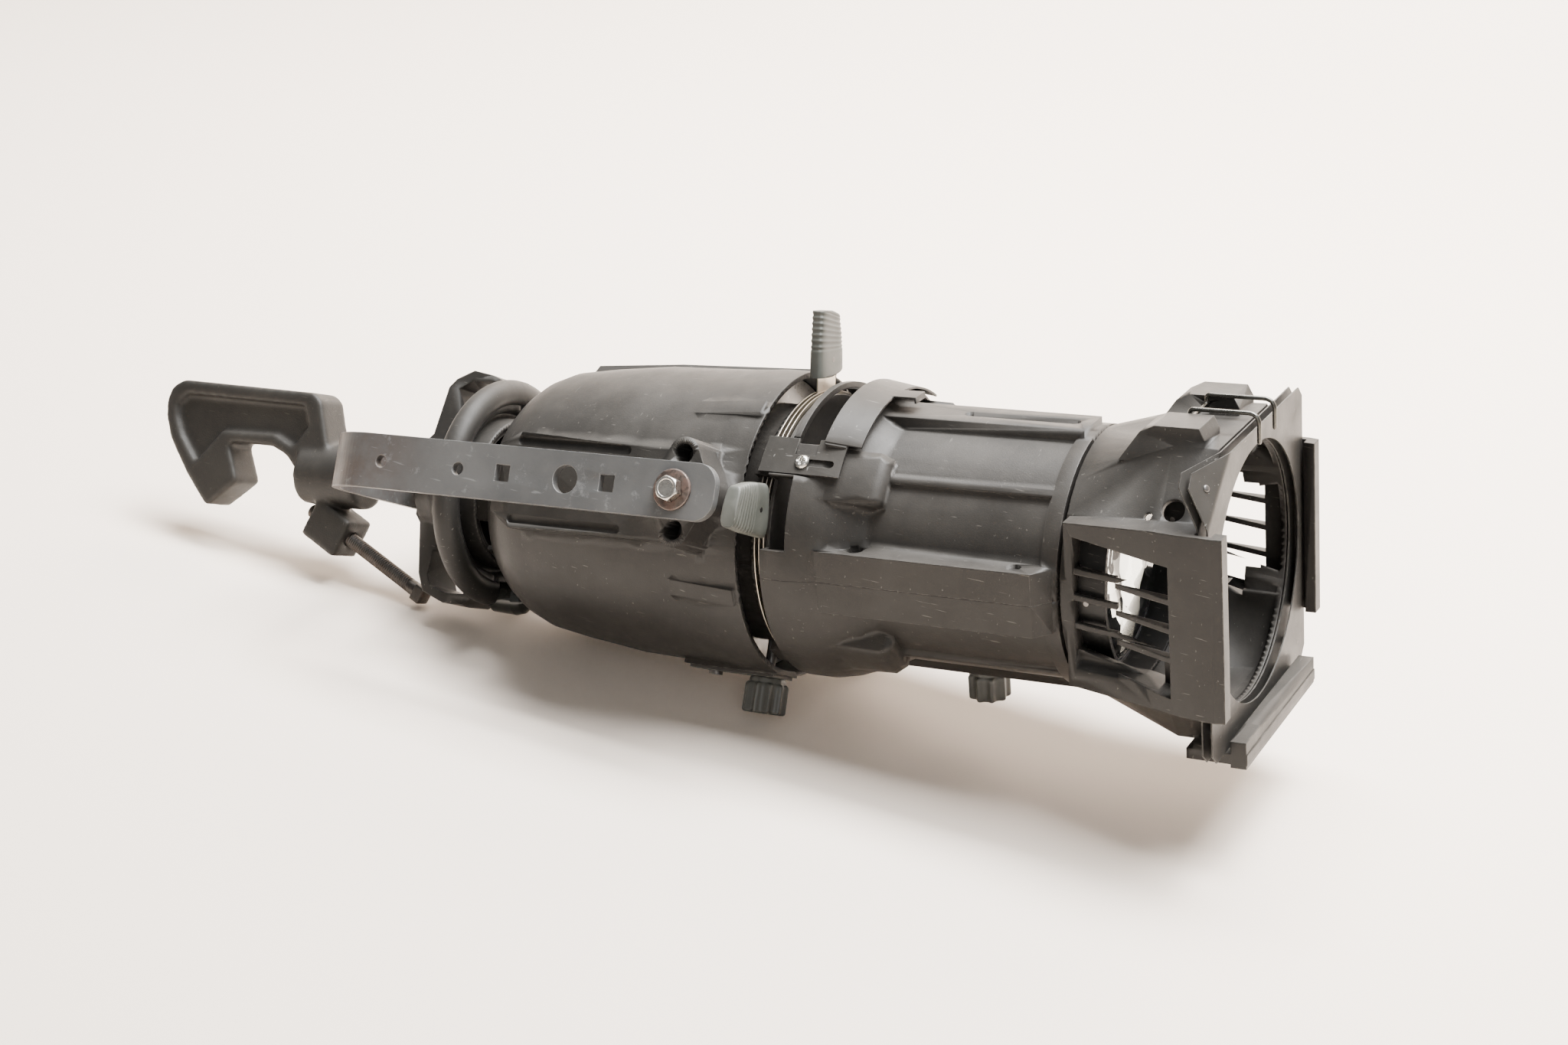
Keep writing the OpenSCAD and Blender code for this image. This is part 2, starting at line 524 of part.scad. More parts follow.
// ---------------------------------------------------------------- shutters
// blade in the barrel frame: half disc with a neck, pulled out by k
module blade(a, x, k) color([0.75, 0.72, 0.66]) place() in_barrel() at_angle(a) difference() {
  along_x(x) linear_extrude(blade_t) {
    difference() {
      translate([k, 0]) circle(r = 45);
      translate([k - 50, -50]) square([50 + 11, 100]);
    }
    translate([k + 30, -11]) square([grip_in + 16 - 30, 22]);
  }
  translate([x - 1, k + grip_in + 10, 0]) along_x() cylinder(h = 3, r = 1.6);
}
module grip(a, x, k) color([0.13, 0.14, 0.13]) place() in_barrel() at_angle(a) difference() {
  along_x(x + blade_t / 2 - 4.5) linear_extrude(9) polygon([[k + grip_in, -grip_w / 2 + 2],
    [k + grip_in + 2, -grip_w / 2], [k + grip_in + grip_len, -grip_w / 2 + 3], [k + grip_in + grip_len, grip_w / 2 - 6],
    [k + grip_in + grip_len - 14, grip_w / 2], [k + grip_in + 2, grip_w / 2], [k + grip_in, grip_w / 2 - 2]]);
  along_x(x) linear_extrude(blade_t) translate([k + grip_in - 1, -11]) square([17, 22]);
  translate([x - 10, k + grip_in + 10, 0]) along_x() cylinder(h = 20, r = 1.6);
}
module rivet(a, x, k) color([0.5, 0.5, 0.5]) place() in_barrel() at_angle(a)
  translate([x + blade_t / 2 - 4.5, k + grip_in + 10, 0]) along_x() cylinder(h = 9, r = 1.6);
top_k = 7.5;
far_k = 8;
module near_blade() blade(near_a, near_x, 0);
module near_grip() grip(near_a, near_x, 0);
module near_rivet() rivet(near_a, near_x, 0);
module top_blade() blade(top_a, top_x, top_k);
module top_grip() grip(top_a, top_x, top_k);
module top_rivet() rivet(top_a, top_x, top_k);
module far_blade() blade(far_a, far_x, far_k);
module far_grip() grip(far_a, far_x, far_k);
module far_rivet() rivet(far_a, far_x, far_k);
module bottom_blade() blade(bottom_a, bottom_x, 0);
module bottom_grip() grip(bottom_a, bottom_x, 0);
module bottom_rivet() rivet(bottom_a, bottom_x, 0);

// ---------------------------------------------------------------- lens tube
module lens_tube() color([0.1, 0.1, 0.1]) place() in_barrel() difference() {
  union() {
    tube_x(104, 232, tube_out, tube_in);
    tube_x(130, 133, tube_out, 60);
    tube_x(207, 210, tube_out, 60);
  }
  rod_z(focus_x, 0, -70, -55, stud_r + stud_fit);
  for (a = [0, 180]) at_angle(a) rod_y(223, 0, 50, 70, 1.5);
}
module lens(x0, r, c) turned([[x0, 0], [x0, r], [x0 + 3, r], [x0 + 3, r - 2.4], [x0 + 3 + c * 0.28, r * 0.85],
  [x0 + 3 + c * 0.56, r * 0.66], [x0 + 3 + c * 0.78, r * 0.47], [x0 + 3 + c * 0.92, r * 0.28],
  [x0 + 3 + c, r * 0.08], [x0 + 3 + c, 0]]);
module rear_lens() color([0.8, 0.9, 0.95, 0.35]) place() in_barrel() mirror([1, 0, 0])
  translate([-130, 0, 0]) lens(0, tube_in - 0.3, 16);
module rear_lens_ring() color([0.4, 0.4, 0.4]) place() in_barrel() tube_x(125.6, 127, tube_in, 60.9);
module front_lens() color([0.8, 0.9, 0.95, 0.35]) place() in_barrel() lens(210, tube_in - 0.3, 17);
module front_lens_ring() color([0.4, 0.4, 0.4]) place() in_barrel() tube_x(213, 214.4, tube_in, 60.9);

module focus_knob() color([0.13, 0.14, 0.13]) place() in_barrel() translate([focus_x, 0, 0]) difference() {
  union() {
    fluted(-93.5, -77, focus_knob_r, 9);
    rod_z(0, 0, -77, -75.05, 8.5);
  }
  rod_z(0, 0, -88, -74, 3);
}
module focus_stud() color([0.6, 0.6, 0.6]) place() in_barrel() rod_z(focus_x, 0, -88, -62.5, stud_r);

// ---------------------------------------------------------------- front holder
// section of the flared body at its front: side, diagonal and top faces
module flare_section(k) polygon([[66 - k, -46], [66 - k, 46], [40 - k, 80 - k], [k - 40, 80 - k], [k - 66, 46],
  [k - 66, -46], [k - 46, k - 80], [46 - k, k - 80]]);
module flare(k, x0, x1) hull() {
  along_x(x0) cylinder(h = 3, r = 72 - k, $fn = 48);
  along_x(x1 - 24) linear_extrude(24) flare_section(k);
}
// outline of a side wall in X and distance from the axis
module side_wall() polygon([[212, 60], [212, 70.5], [262, 80.5], [276, 83], [296, 84], [301.5, 83], [301.5, 74.6],
  [slot_front, 74.6], [slot_front, half + 0.8], [holder_face, half + 0.8], [holder_face, 60]]);
// side opening between two sloping edges, drawn in X and Z
module side_gap(za0, za1, zb0, zb1) polygon([[217, za0], [217, zb0], [264, zb1], [264, za1]]);
module front_holder() color([0.12, 0.12, 0.12]) place() in_barrel() difference() {
  union() {
    difference() {
      flare(0, holder_x0, holder_face);
      flare(3.4, holder_x0 + 9, holder_face - 3.2);
      rod_x(holder_x0 - 1, 240, 65.9);
    }
    // side walls with the claws
    for (s = [-1, 1]) mirror([0, s > 0 ? 0 : 1, 0]) intersection() {
      difference() {
        translate([0, 0, -60]) linear_extrude(120) side_wall();
        translate([217, 55, -37]) cube([holder_face - 3.2 - 217, 21.5, 70]);
      }
      slab_y(50, 90) polygon([[212, -47], [264, -50], [290, -52], [302, -52], [302, 47.5], [290, 48], [264, 48],
        [212, 44]]);
    }
    // bottom claw and the seat of the colour frame
    translate([272, -60, -half - 6]) cube([33, 120, 6]);
    translate([slot_front + 0.5, -60, -half - 8]) cube([8.5, 120, 15]);
    translate([276, -60, -half - 6]) cube([10.5, 120, 10]);
    // cheeks that carry the wire clip
    for (s = [-1, 1]) mirror([0, s > 0 ? 0 : 1, 0]) slab_y(16, 40) polygon([[232, 70], [244, 86], [252, 90],
      [276, 90], [279, 84], [279, 76], [250, 70]]);
  }
  rod_x(200, 320, tube_out);
  rod_x(240, holder_face + 1, frame_hole_r + 0.4);
  // openings of the side walls, ribs left between them
  for (s = [-1, 1]) mirror([0, s > 0 ? 0 : 1, 0]) {
    slab_y(50, 78) side_gap(19, 13.5, 37, 31);
    slab_y(50, 78) side_gap(5, -2, 16, 10.5);
    slab_y(50, 78) side_gap(-11, -18, 2, -5);
    slab_y(50, 78) side_gap(-27, -40, -14, -21);
  }
  // bay between the cheeks and the bore of the clip
  translate([243, -15.9, 81]) cube([50, 31.8, 12]);
  rod_y(clip_x, clip_z, -26, 26, clip_wire_d / 2 + 0.05);
  // small hole and keyhole opening in the upper panels
  for (a = [38, 142]) at_angle(a) {
    rod_y(256, 0, 60, 110, 2.2);
    rod_y(269, a > 90 ? -4 : 4, 60, 110, 6);
  }
  for (a = [0, 180]) at_angle(a) rod_y(223, 0, 60, 78, 1.5);
}
module holder_screws() color([0.3, 0.3, 0.3]) place() in_barrel() for (a = [0, 180]) at_angle(a)
  rod_y(223, 0, 62.9, 70, 1.5);

// ---------------------------------------------------------------- colour frame
clip_c = 6;                 // clipped corners
module leaf_outline() difference() {
  polygon([[-half + clip_c, -half], [half - clip_c, -half], [half, -half + clip_c], [half, half - clip_c],
    [half - clip_c, half], [-half + clip_c, half], [-half, half - clip_c], [-half, -half + clip_c]]);
  circle(r = frame_hole_r);
  for (y = [-1, 1], z = [-1, 1]) translate([66.5 * y, 67 * z]) circle(r = 1.9, $fn = 24);
}
module frame_leaf(x) color([0.15, 0.15, 0.15]) place() in_barrel() along_x(x) linear_extrude(leaf_t) leaf_outline();
module frame_front_leaf() frame_leaf(leaf_front);
module frame_back_leaf() frame_leaf(leaf_back);
module frame_rivets() color([0.4, 0.4, 0.4]) place() in_barrel() for (y = [-1, 1], z = [-1, 1])
  translate([leaf_back, 66.5 * y, 67 * z]) along_x() cylinder(h = leaf_front + leaf_t - leaf_back, r = 1.9);

module wire_clip() color([0.5, 0.5, 0.5]) place() in_barrel() {
  r = clip_wire_d / 2;
  rod_y(clip_x, clip_z, -25, 25, r);
  for (s = [-1, 1]) {
    rod_z(clip_x, clip_leg_y * s, clip_z, clip_leg_z, r);
    translate([clip_x, clip_leg_y * s, clip_leg_z]) sphere(r = r, $fn = 24);
    translate([0, clip_leg_y * s, clip_leg_z]) rod_x(clip_x, 299, r);
    translate([299, clip_leg_y * s, clip_leg_z]) sphere(r = r, $fn = 24);
    rod_z(299, clip_leg_y * s, 75, clip_leg_z, r);
  }
}

reflector_housing();
bearing_plate();
bearing_plate_screws();
rear_cap();
cap_screws();
lamp_socket();
lamp_base();
lamp_bulb();
reflector();
reflector_clips();
cord_gland();
lock_bracket();
bracket_screw();
yoke_bolts();
yoke_washers();
friction_discs();
yoke_near_arm();
yoke_far_arm();
yoke_strap();
spud();
spud_bolt();
clamp_hook();
pipe_bolt();
set_screw();
rotation_knob();
rotation_stud();
barrel_upper();
barrel_lower();
barrel_screws();
bearing_ring();
gate_plates();
slot_screws();
slot_cover();
near_blade();
near_grip();
near_rivet();
top_blade();
top_grip();
top_rivet();
far_blade();
far_grip();
far_rivet();
bottom_blade();
bottom_grip();
bottom_rivet();
lens_tube();
front_holder();
holder_screws();
rear_lens();
front_lens();
rear_lens_ring();
front_lens_ring();
focus_knob();
focus_stud();
frame_front_leaf();
frame_back_leaf();
frame_rivets();
wire_clip();
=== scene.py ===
# %% [markdown]
# # An ellipsoidal spotlight, finished for its portrait
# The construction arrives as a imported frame: every casting, screw and lens at its real size.
# This notebook gives those pieces their surfaces, remodels the ones whose small forms matter,
# and leaves each one on the body that it moves with.

# %% Load the frame
import json
import math

import bmesh
import bpy
import numpy as np
from mathutils import Matrix, Vector

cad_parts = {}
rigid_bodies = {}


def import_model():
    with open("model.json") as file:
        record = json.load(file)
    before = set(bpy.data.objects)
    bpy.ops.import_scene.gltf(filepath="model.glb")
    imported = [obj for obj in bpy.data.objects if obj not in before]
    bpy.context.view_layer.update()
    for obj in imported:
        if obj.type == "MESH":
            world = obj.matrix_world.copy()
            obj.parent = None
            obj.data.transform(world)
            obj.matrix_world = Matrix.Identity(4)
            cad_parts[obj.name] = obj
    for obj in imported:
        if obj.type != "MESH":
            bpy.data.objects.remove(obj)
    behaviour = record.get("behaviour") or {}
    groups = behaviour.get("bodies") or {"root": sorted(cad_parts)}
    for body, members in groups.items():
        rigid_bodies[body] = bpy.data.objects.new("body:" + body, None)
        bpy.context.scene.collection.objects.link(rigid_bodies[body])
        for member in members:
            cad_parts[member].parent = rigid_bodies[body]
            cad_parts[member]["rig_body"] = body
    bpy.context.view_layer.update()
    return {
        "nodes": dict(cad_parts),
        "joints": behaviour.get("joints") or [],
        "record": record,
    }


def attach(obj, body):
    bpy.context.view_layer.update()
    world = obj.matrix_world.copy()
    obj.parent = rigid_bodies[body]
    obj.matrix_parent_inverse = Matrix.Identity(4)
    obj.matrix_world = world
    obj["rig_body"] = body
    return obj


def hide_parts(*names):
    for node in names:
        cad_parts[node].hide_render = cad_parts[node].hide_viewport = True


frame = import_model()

nodes = frame["nodes"]

# %% [markdown]
# ## Working frames
# The spotlight lies tilted on its bench, which is awkward to model in. The joints say where its
# own axes are: the yoke tilts about the housing's Y, the barrel turns about the optical axis X,
# and the colour frame lifts along the barrel's Z. Every piece below is drawn in millimetres in
# one of these frames and then carried into the room.

# %% Working frames from the joints
joint = {j["name"]: j for j in frame["joints"]}


def unit(v):
    """A vector divided by its length."""
    v = np.array(v, float)
    return v / np.linalg.norm(v)


PIVOT = np.array(joint["yoke_tilt"]["pos_m"], float)
OPTICAL = unit(joint["barrel_rotation"]["axis"])
TILT = unit(joint["yoke_tilt"]["axis"])
UP = unit(joint["frame_lift"]["axis"])
SWIVEL = unit(joint["set_screw_feed"]["axis"])
HOUSING = np.array([OPTICAL, TILT, np.cross(OPTICAL, TILT)])
BARREL = np.array([OPTICAL, np.cross(UP, OPTICAL), UP])
MM = 0.001


def place(points, axes):
    """Room position = pivot + x*X + y*Y + z*Z, for points in millimetres in a working frame."""
    return PIVOT + np.asarray(points, float) @ axes * MM


print("optical axis", OPTICAL.round(3), "barrel up", UP.round(3))

# %% [markdown]
# ## Camera
# A 58 mm lens stands low and to the front right, about a metre and a half from the yoke, and is
# rolled a few degrees so that the bench runs downhill. Its place is given in the housing's
# frame, because that is where it was measured.

# %% Camera
CAMERA_AT = (685.15, -1290.94, -122.16)
CAMERA_TURN = math.radians(27.662)
CAMERA_RISE = math.radians(-4.777)
CAMERA_ROLL = math.radians(8.393)
LENS_MM, SENSOR_MM = 57.75, 36.0


def make_camera():
    """Aims the camera: forward from turn and rise, right and up then rolled about it."""
    ct, st = math.cos(CAMERA_TURN), math.sin(CAMERA_TURN)
    ce, se = math.cos(CAMERA_RISE), math.sin(CAMERA_RISE)
    forward = np.array([-st * ce, ct * ce, -se])
    level = np.array([ct, st, 0.0])
    upward = np.cross(level, forward)
    cr, sr = math.cos(CAMERA_ROLL), math.sin(CAMERA_ROLL)
    right = cr * level + sr * upward
    above = cr * upward - sr * level
    data = bpy.data.cameras.new("camera")
    data.lens, data.sensor_width = LENS_MM, SENSOR_MM
    data.clip_start, data.clip_end = 0.05, 50.0
    camera = bpy.data.objects.new("camera", data)
    bpy.context.scene.collection.objects.link(camera)
    turned = np.array([right, above, -forward]) @ HOUSING
    spot = place(CAMERA_AT, HOUSING)
    matrix = np.eye(4)
    matrix[:3, :3], matrix[:3, 3] = turned.T, spot
    camera.matrix_world = Matrix(matrix.tolist())
    bpy.context.scene.camera = camera
    return camera


camera = make_camera()
print("camera at", np.array(camera.matrix_world.translation).round(3))

# %% [markdown]
# ## Stage and light
# The bench becomes a plain pale floor that curves up behind into a backdrop, so that no horizon
# cuts the picture. Black satin metal shows its shape only by what it reflects, so the room is
# even, one broad soft box hangs above the lens end to light the tops, a weak one stands in front,
# and a third lights the backdrop alone.

# %% Floor, world and lights
FLOOR_COLOUR = (0.80, 0.70, 0.605, 1.0)
ROOM_COLOUR = (1.0, 0.99, 0.97, 1.0)


def grid_mesh(name, points, close_u=False, close_v=False):
    """A mesh from an (m, n, 3) grid: each cell of the grid is one quad. A closed direction joins
    its last row back to its first."""
    m, n = points.shape[:2]
    rows = np.arange(m if close_u else m - 1)
    cols = np.arange(n if close_v else n - 1)
    i, j = np.meshgrid(rows, cols, indexing="ij")
    i2, j2 = (i + 1) % m, (j + 1) % n
    quads = np.stack([i * n + j, i2 * n + j, i2 * n + j2, i * n + j2], -1).reshape(-1, 4)
    mesh = bpy.data.meshes.new(name)
    mesh.from_pydata(points.reshape(-1, 3).tolist(), [], quads.tolist())
    return mesh


def make_floor():
    """A strip swept across: flat bench, quarter round, then a wall. Height follows the arc
    z = r - r*cos(t), and depth y = far + r*sin(t)."""
    far, radius, wide = 1.6, 1.0, 6.0
    arc = np.linspace(0, math.pi / 2, 24)
    depth = np.concatenate([[-4.0, 0.0], far + radius * np.sin(arc), [far + radius]])
    height = np.concatenate([[0.0, 0.0], radius - radius * np.cos(arc), [4.0]])
    across = np.linspace(-wide, wide, 3)
    points = np.zeros((len(depth), len(across), 3))
    points[..., 0] = across[None, :]
    points[..., 1] = depth[:, None]
    points[..., 2] = height[:, None]
    mesh = grid_mesh("floor", points)
    mesh.flip_normals()
    mesh.polygons.foreach_set("use_smooth", [True] * len(mesh.polygons))
    floor = bpy.data.objects.new("floor", mesh)
    paint = bpy.data.materials.new("floor_paint")
    paint.use_nodes = True
    shader = paint.node_tree.nodes["Principled BSDF"]
    shader.inputs["Base Color"].default_value = FLOOR_COLOUR
    shader.inputs["Roughness"].default_value = 0.75
    mesh.materials.append(paint)
    bpy.context.scene.collection.objects.link(floor)
    return floor


def soft_box(name, at, aim, size, power, colour=(1, 1, 1)):
    """A square area light at one point of the room, turned so that it faces another."""
    data = bpy.data.lights.new(name, "AREA")
    data.shape, data.size, data.energy, data.color = "SQUARE", size, power, colour
    lamp = bpy.data.objects.new(name, data)
    lamp.location = at
    lamp.rotation_euler = (Vector(aim) - Vector(at)).to_track_quat("-Z", "Y").to_euler()
    bpy.context.scene.collection.objects.link(lamp)
    return lamp


def make_room(strength):
    """An even world that lights from everywhere, a little warm."""
    world = bpy.data.worlds.new("room")
    world.use_nodes = True
    world.node_tree.nodes["Background"].inputs["Color"].default_value = ROOM_COLOUR
    world.node_tree.nodes["Background"].inputs["Strength"].default_value = strength
    bpy.context.scene.world = world


make_room(0.36)
floor = make_floor()
soft_box("top", (0.75, 0.15, 1.75), (0.12, 0, 0.1), 1.0, 105)
soft_box("front", (1.5, -2.0, 1.3), (0.1, 0, 0.1), 0.9, 12)
soft_box("backdrop", (0.0, 0.9, 2.8), (0.0, 3.0, 0.6), 1.8, 560)
print("stage and lights are up")

# %% [markdown]
# ## Finishes
# Nearly everything here is black, yet no two blacks are alike: satin paint on die castings,
# thinner grey paint on the bent steel bar, bare cast iron on the clamp, moulded plastic on the
# grips. Each finish is built from noise in Object coordinates, so that nothing slides when a
# piece moves. The alternative, a painted picture wrapped round each casting, would need seams
# and would blur close up.

# %% Material helpers
def new_material(name):
    """An empty node material with its tree and its Principled shader."""
    material = bpy.data.materials.new(name)
    material.use_nodes = True
    tree = material.node_tree
    return material, tree, tree.nodes["Principled BSDF"]


def object_space(tree, stretch=(1, 1, 1)):
    """Object coordinates, stretched along X, Y and Z by a Mapping node."""
    where = tree.nodes.new("ShaderNodeTexCoord")
    mapped = tree.nodes.new("ShaderNodeMapping")
    mapped.inputs["Scale"].default_value = stretch
    tree.links.new(where.outputs["Object"], mapped.inputs["Vector"])
    return mapped.outputs["Vector"]


def noise(tree, vector, scale, detail=4.0, roughness=0.5, distortion=0.0):
    """Noise on a vector; its Fac output runs from about 0.3 to 0.7."""
    made = tree.nodes.new("ShaderNodeTexNoise")
    made.inputs["Scale"].default_value = scale
    made.inputs["Detail"].default_value = detail
    made.inputs["Roughness"].default_value = roughness
    made.inputs["Distortion"].default_value = distortion
    tree.links.new(vector, made.inputs["Vector"])
    return made.outputs["Fac"]


def remap(tree, value, low, high, to_low=0.0, to_high=1.0):
    """Linear map of low..high onto to_low..to_high, clamped."""
    made = tree.nodes.new("ShaderNodeMapRange")
    for label, number in (("From Min", low), ("From Max", high), ("To Min", to_low),
                          ("To Max", to_high)):
        made.inputs[label].default_value = number
    tree.links.new(value, made.inputs["Value"])
    return made.outputs["Result"]


def math_node(tree, operation, first, second):
    """One Math node; either side may be a socket or a number."""
    made = tree.nodes.new("ShaderNodeMath")
    made.operation = operation
    for socket, value in zip(made.inputs, (first, second)):
        if isinstance(value, (int, float)):
            socket.default_value = value
        else:
            tree.links.new(value, socket)
    return made.outputs["Value"]


def blend_colour(tree, mask, below, above):
    """Mix of two colours, each a socket or an RGB triple, by a mask from 0 to 1."""
    made = tree.nodes.new("ShaderNodeMix")
    made.data_type = "RGBA"
    tree.links.new(mask, made.inputs["Factor"])
    for index, value in ((6, below), (7, above)):
        if isinstance(value, tuple):
            made.inputs[index].default_value = (*value, 1.0)
        else:
            tree.links.new(value, made.inputs[index])
    return made.outputs[2]


def along(tree, vector, direction):
    """How far a vector socket reaches along a fixed direction."""
    made = tree.nodes.new("ShaderNodeVectorMath")
    made.operation = "DOT_PRODUCT"
    tree.links.new(vector, made.inputs[0])
    made.inputs[1].default_value = tuple(float(v) for v in direction)
    return made.outputs["Value"]


def facing(tree, direction, low, high):
    """0 to 1 as the surface turns towards a direction, from its own normal."""
    where = tree.nodes.new("ShaderNodeTexCoord")
    return remap(tree, along(tree, where.outputs["Normal"], direction), low, high)


def rounded_normal(tree, radius, samples=6):
    """The normal that edges would have if they were rolled to a radius, in metres."""
    made = tree.nodes.new("ShaderNodeBevel")
    made.samples = samples
    made.inputs["Radius"].default_value = radius
    return made.outputs["Normal"]


def edge_mask(tree, radius):
    """1 on edges and 0 on flats: one minus the dot product of the true normal and the rounded
    one, widened."""
    true = tree.nodes.new("ShaderNodeNewGeometry")
    dot = tree.nodes.new("ShaderNodeVectorMath")
    dot.operation = "DOT_PRODUCT"
    tree.links.new(rounded_normal(tree, radius, 4), dot.inputs[0])
    tree.links.new(true.outputs["Normal"], dot.inputs[1])
    return remap(tree, dot.outputs["Value"], 0.99, 0.88)


def add_bump(tree, shader, height, strength, distance, radius):
    """Bump from a height socket, over normals rolled at the edges."""
    made = tree.nodes.new("ShaderNodeBump")
    made.inputs["Strength"].default_value = strength
    made.inputs["Distance"].default_value = distance
    tree.links.new(height, made.inputs["Height"])
    tree.links.new(rounded_normal(tree, radius), made.inputs["Normal"])
    tree.links.new(made.outputs["Normal"], shader.inputs["Normal"])


def scratches(tree, scale, stretch, low, high):
    """Fine straight scratches: noise pulled out along one axis and cut to its crests."""
    return remap(tree, noise(tree, object_space(tree, stretch), scale, 2.0, 0.4), low, high)


UPWARD = (0.0, 0.0, 1.0)
print("material helpers ready")

# %% [markdown]
# ### Paint on castings
# Die-cast housings are sprayed with a satin black whose skin copies the grain of the mould. Two
# scales of noise give the colour and a third the grain. Years on a lighting bar leave a film of
# pale dust on what faces up, and that pale film is partly painted top light as well. Edges are
# paler as rubbed paint, and on the cover and the bracket also as a painted glint; hair scratches
# run across. The pale top is set by each surface's own normal, which is cheap and follows every
# form. Rolled normals soften the knife edges of the construction pieces, as the draft and fillets
# of a real mould do.

# %% Casting paint
def casting_paint(name, dark, light, roughness, radius=0.0010, grain=0.35, worn_and_glint_colour=(0.15, 0.14, 0.125),
                  wear_and_glint=0.5, dust_and_toplight=0.22, dust_and_toplight_colour=(0.155, 0.142, 0.125)):
    """Satin paint between dark and light; a pale film on top that is dust and painted top light, worn
    edges that on pale-edged finishes are also a painted glint, faint scratches.
    """
    material, tree, shader = new_material(name)
    here = object_space(tree)
    broad = remap(tree, noise(tree, here, 9, 5, 0.62), 0.36, 0.66)
    colour = blend_colour(tree, broad, dark, light)
    patches = remap(tree, noise(tree, here, 28, 5, 0.65), 0.40, 0.64, 0.55, 1.0)
    # Upward faces are painted paler: partly dust, partly painted light from above.
    top = math_node(tree, "MULTIPLY", facing(tree, UPWARD, -0.05, 0.95), patches)
    colour = blend_colour(tree, math_node(tree, "MULTIPLY", top, dust_and_toplight), colour, dust_and_toplight_colour)
    lines = math_node(tree, "MAXIMUM", scratches(tree, 60, (1.0, 14.0, 14.0), 0.715, 0.76),
                      scratches(tree, 52, (12.0, 1.0, 7.0), 0.725, 0.77))
    colour = blend_colour(tree, math_node(tree, "MULTIPLY", lines, 0.35), colour, worn_and_glint_colour)
    breakup = remap(tree, noise(tree, here, 150, 4, 0.7), 0.44, 0.60)
    # Edge colour: rubbed paint, and on the pale-edged finishes also a painted glint.
    edges = math_node(tree, "MULTIPLY", edge_mask(tree, radius * 0.8), breakup)
    colour = blend_colour(tree, math_node(tree, "MULTIPLY", edges, wear_and_glint), colour, worn_and_glint_colour)
    tree.links.new(colour, shader.inputs["Base Color"])
    gloss = remap(tree, noise(tree, here, 45, 4, 0.65), 0.3, 0.7, roughness - 0.06, roughness + 0.08)
    gloss = math_node(tree, "ADD", gloss, math_node(tree, "MULTIPLY", top, 0.08))
    tree.links.new(gloss, shader.inputs["Roughness"])
    shader.inputs["Specular IOR Level"].default_value = 0.24
    fine = noise(tree, here, 1100, 3, 0.6)
    coarse = noise(tree, here, 210, 3, 0.5)
    height = math_node(tree, "ADD", math_node(tree, "MULTIPLY", coarse, 0.6), fine)
    add_bump(tree, shader, height, grain, 0.00022, radius)
    return material


paints = {
    "housing": casting_paint("housing_paint", (0.0114, 0.0107, 0.0099), (0.0186, 0.0174, 0.0162), 0.40),
    "barrel": casting_paint("barrel_paint", (0.0126, 0.0117, 0.0108), (0.0216, 0.0198, 0.018),
                            0.42, 0.0008),
    "holder": casting_paint("holder_paint", (0.012, 0.0114, 0.0105), (0.0192, 0.018, 0.0168),
                            0.41, 0.0012),
    "cap": casting_paint("cap_paint", (0.009, 0.0086, 0.0081), (0.015, 0.0144, 0.0135), 0.45, 0.0016),
    "tube": casting_paint("tube_paint", (0.0054, 0.0054, 0.0054), (0.009, 0.009, 0.009), 0.36,
                          wear_and_glint=0.2, dust_and_toplight=0.05),
    "clamp": casting_paint("clamp_iron", (0.0078, 0.0073, 0.0066), (0.0156, 0.0146, 0.0132), 0.44,
                           0.0026, 0.7,
                           (0.114, 0.0997, 0.0855), 0.55, 0.16),
    # The pale edge colour of the cover is partly worn paint and partly a painted glint.
    "cover": casting_paint("cover_paint", (0.0144, 0.0135, 0.0123), (0.0216, 0.0204, 0.0186),
                           0.36, 0.0003, 0.15,
                           (0.285, 0.2755, 0.2565), 0.8),
    "colour_frame": casting_paint("frame_paint", (0.018, 0.0171, 0.0156), (0.0276, 0.0261, 0.024),
                                  0.40, 0.0003,
                                  0.15, (0.285, 0.2755, 0.2565), 0.85, 0.20),
    # The pale edge colour of the bracket is partly worn paint and partly a painted glint.
    "bracket": casting_paint("bracket_paint", (0.0168, 0.0162, 0.015), (0.0252, 0.024, 0.0222),
                             0.36, 0.0004, 0.15,
                             (0.399, 0.3895, 0.361), 0.9),
}
print(len(paints), "paints ready")
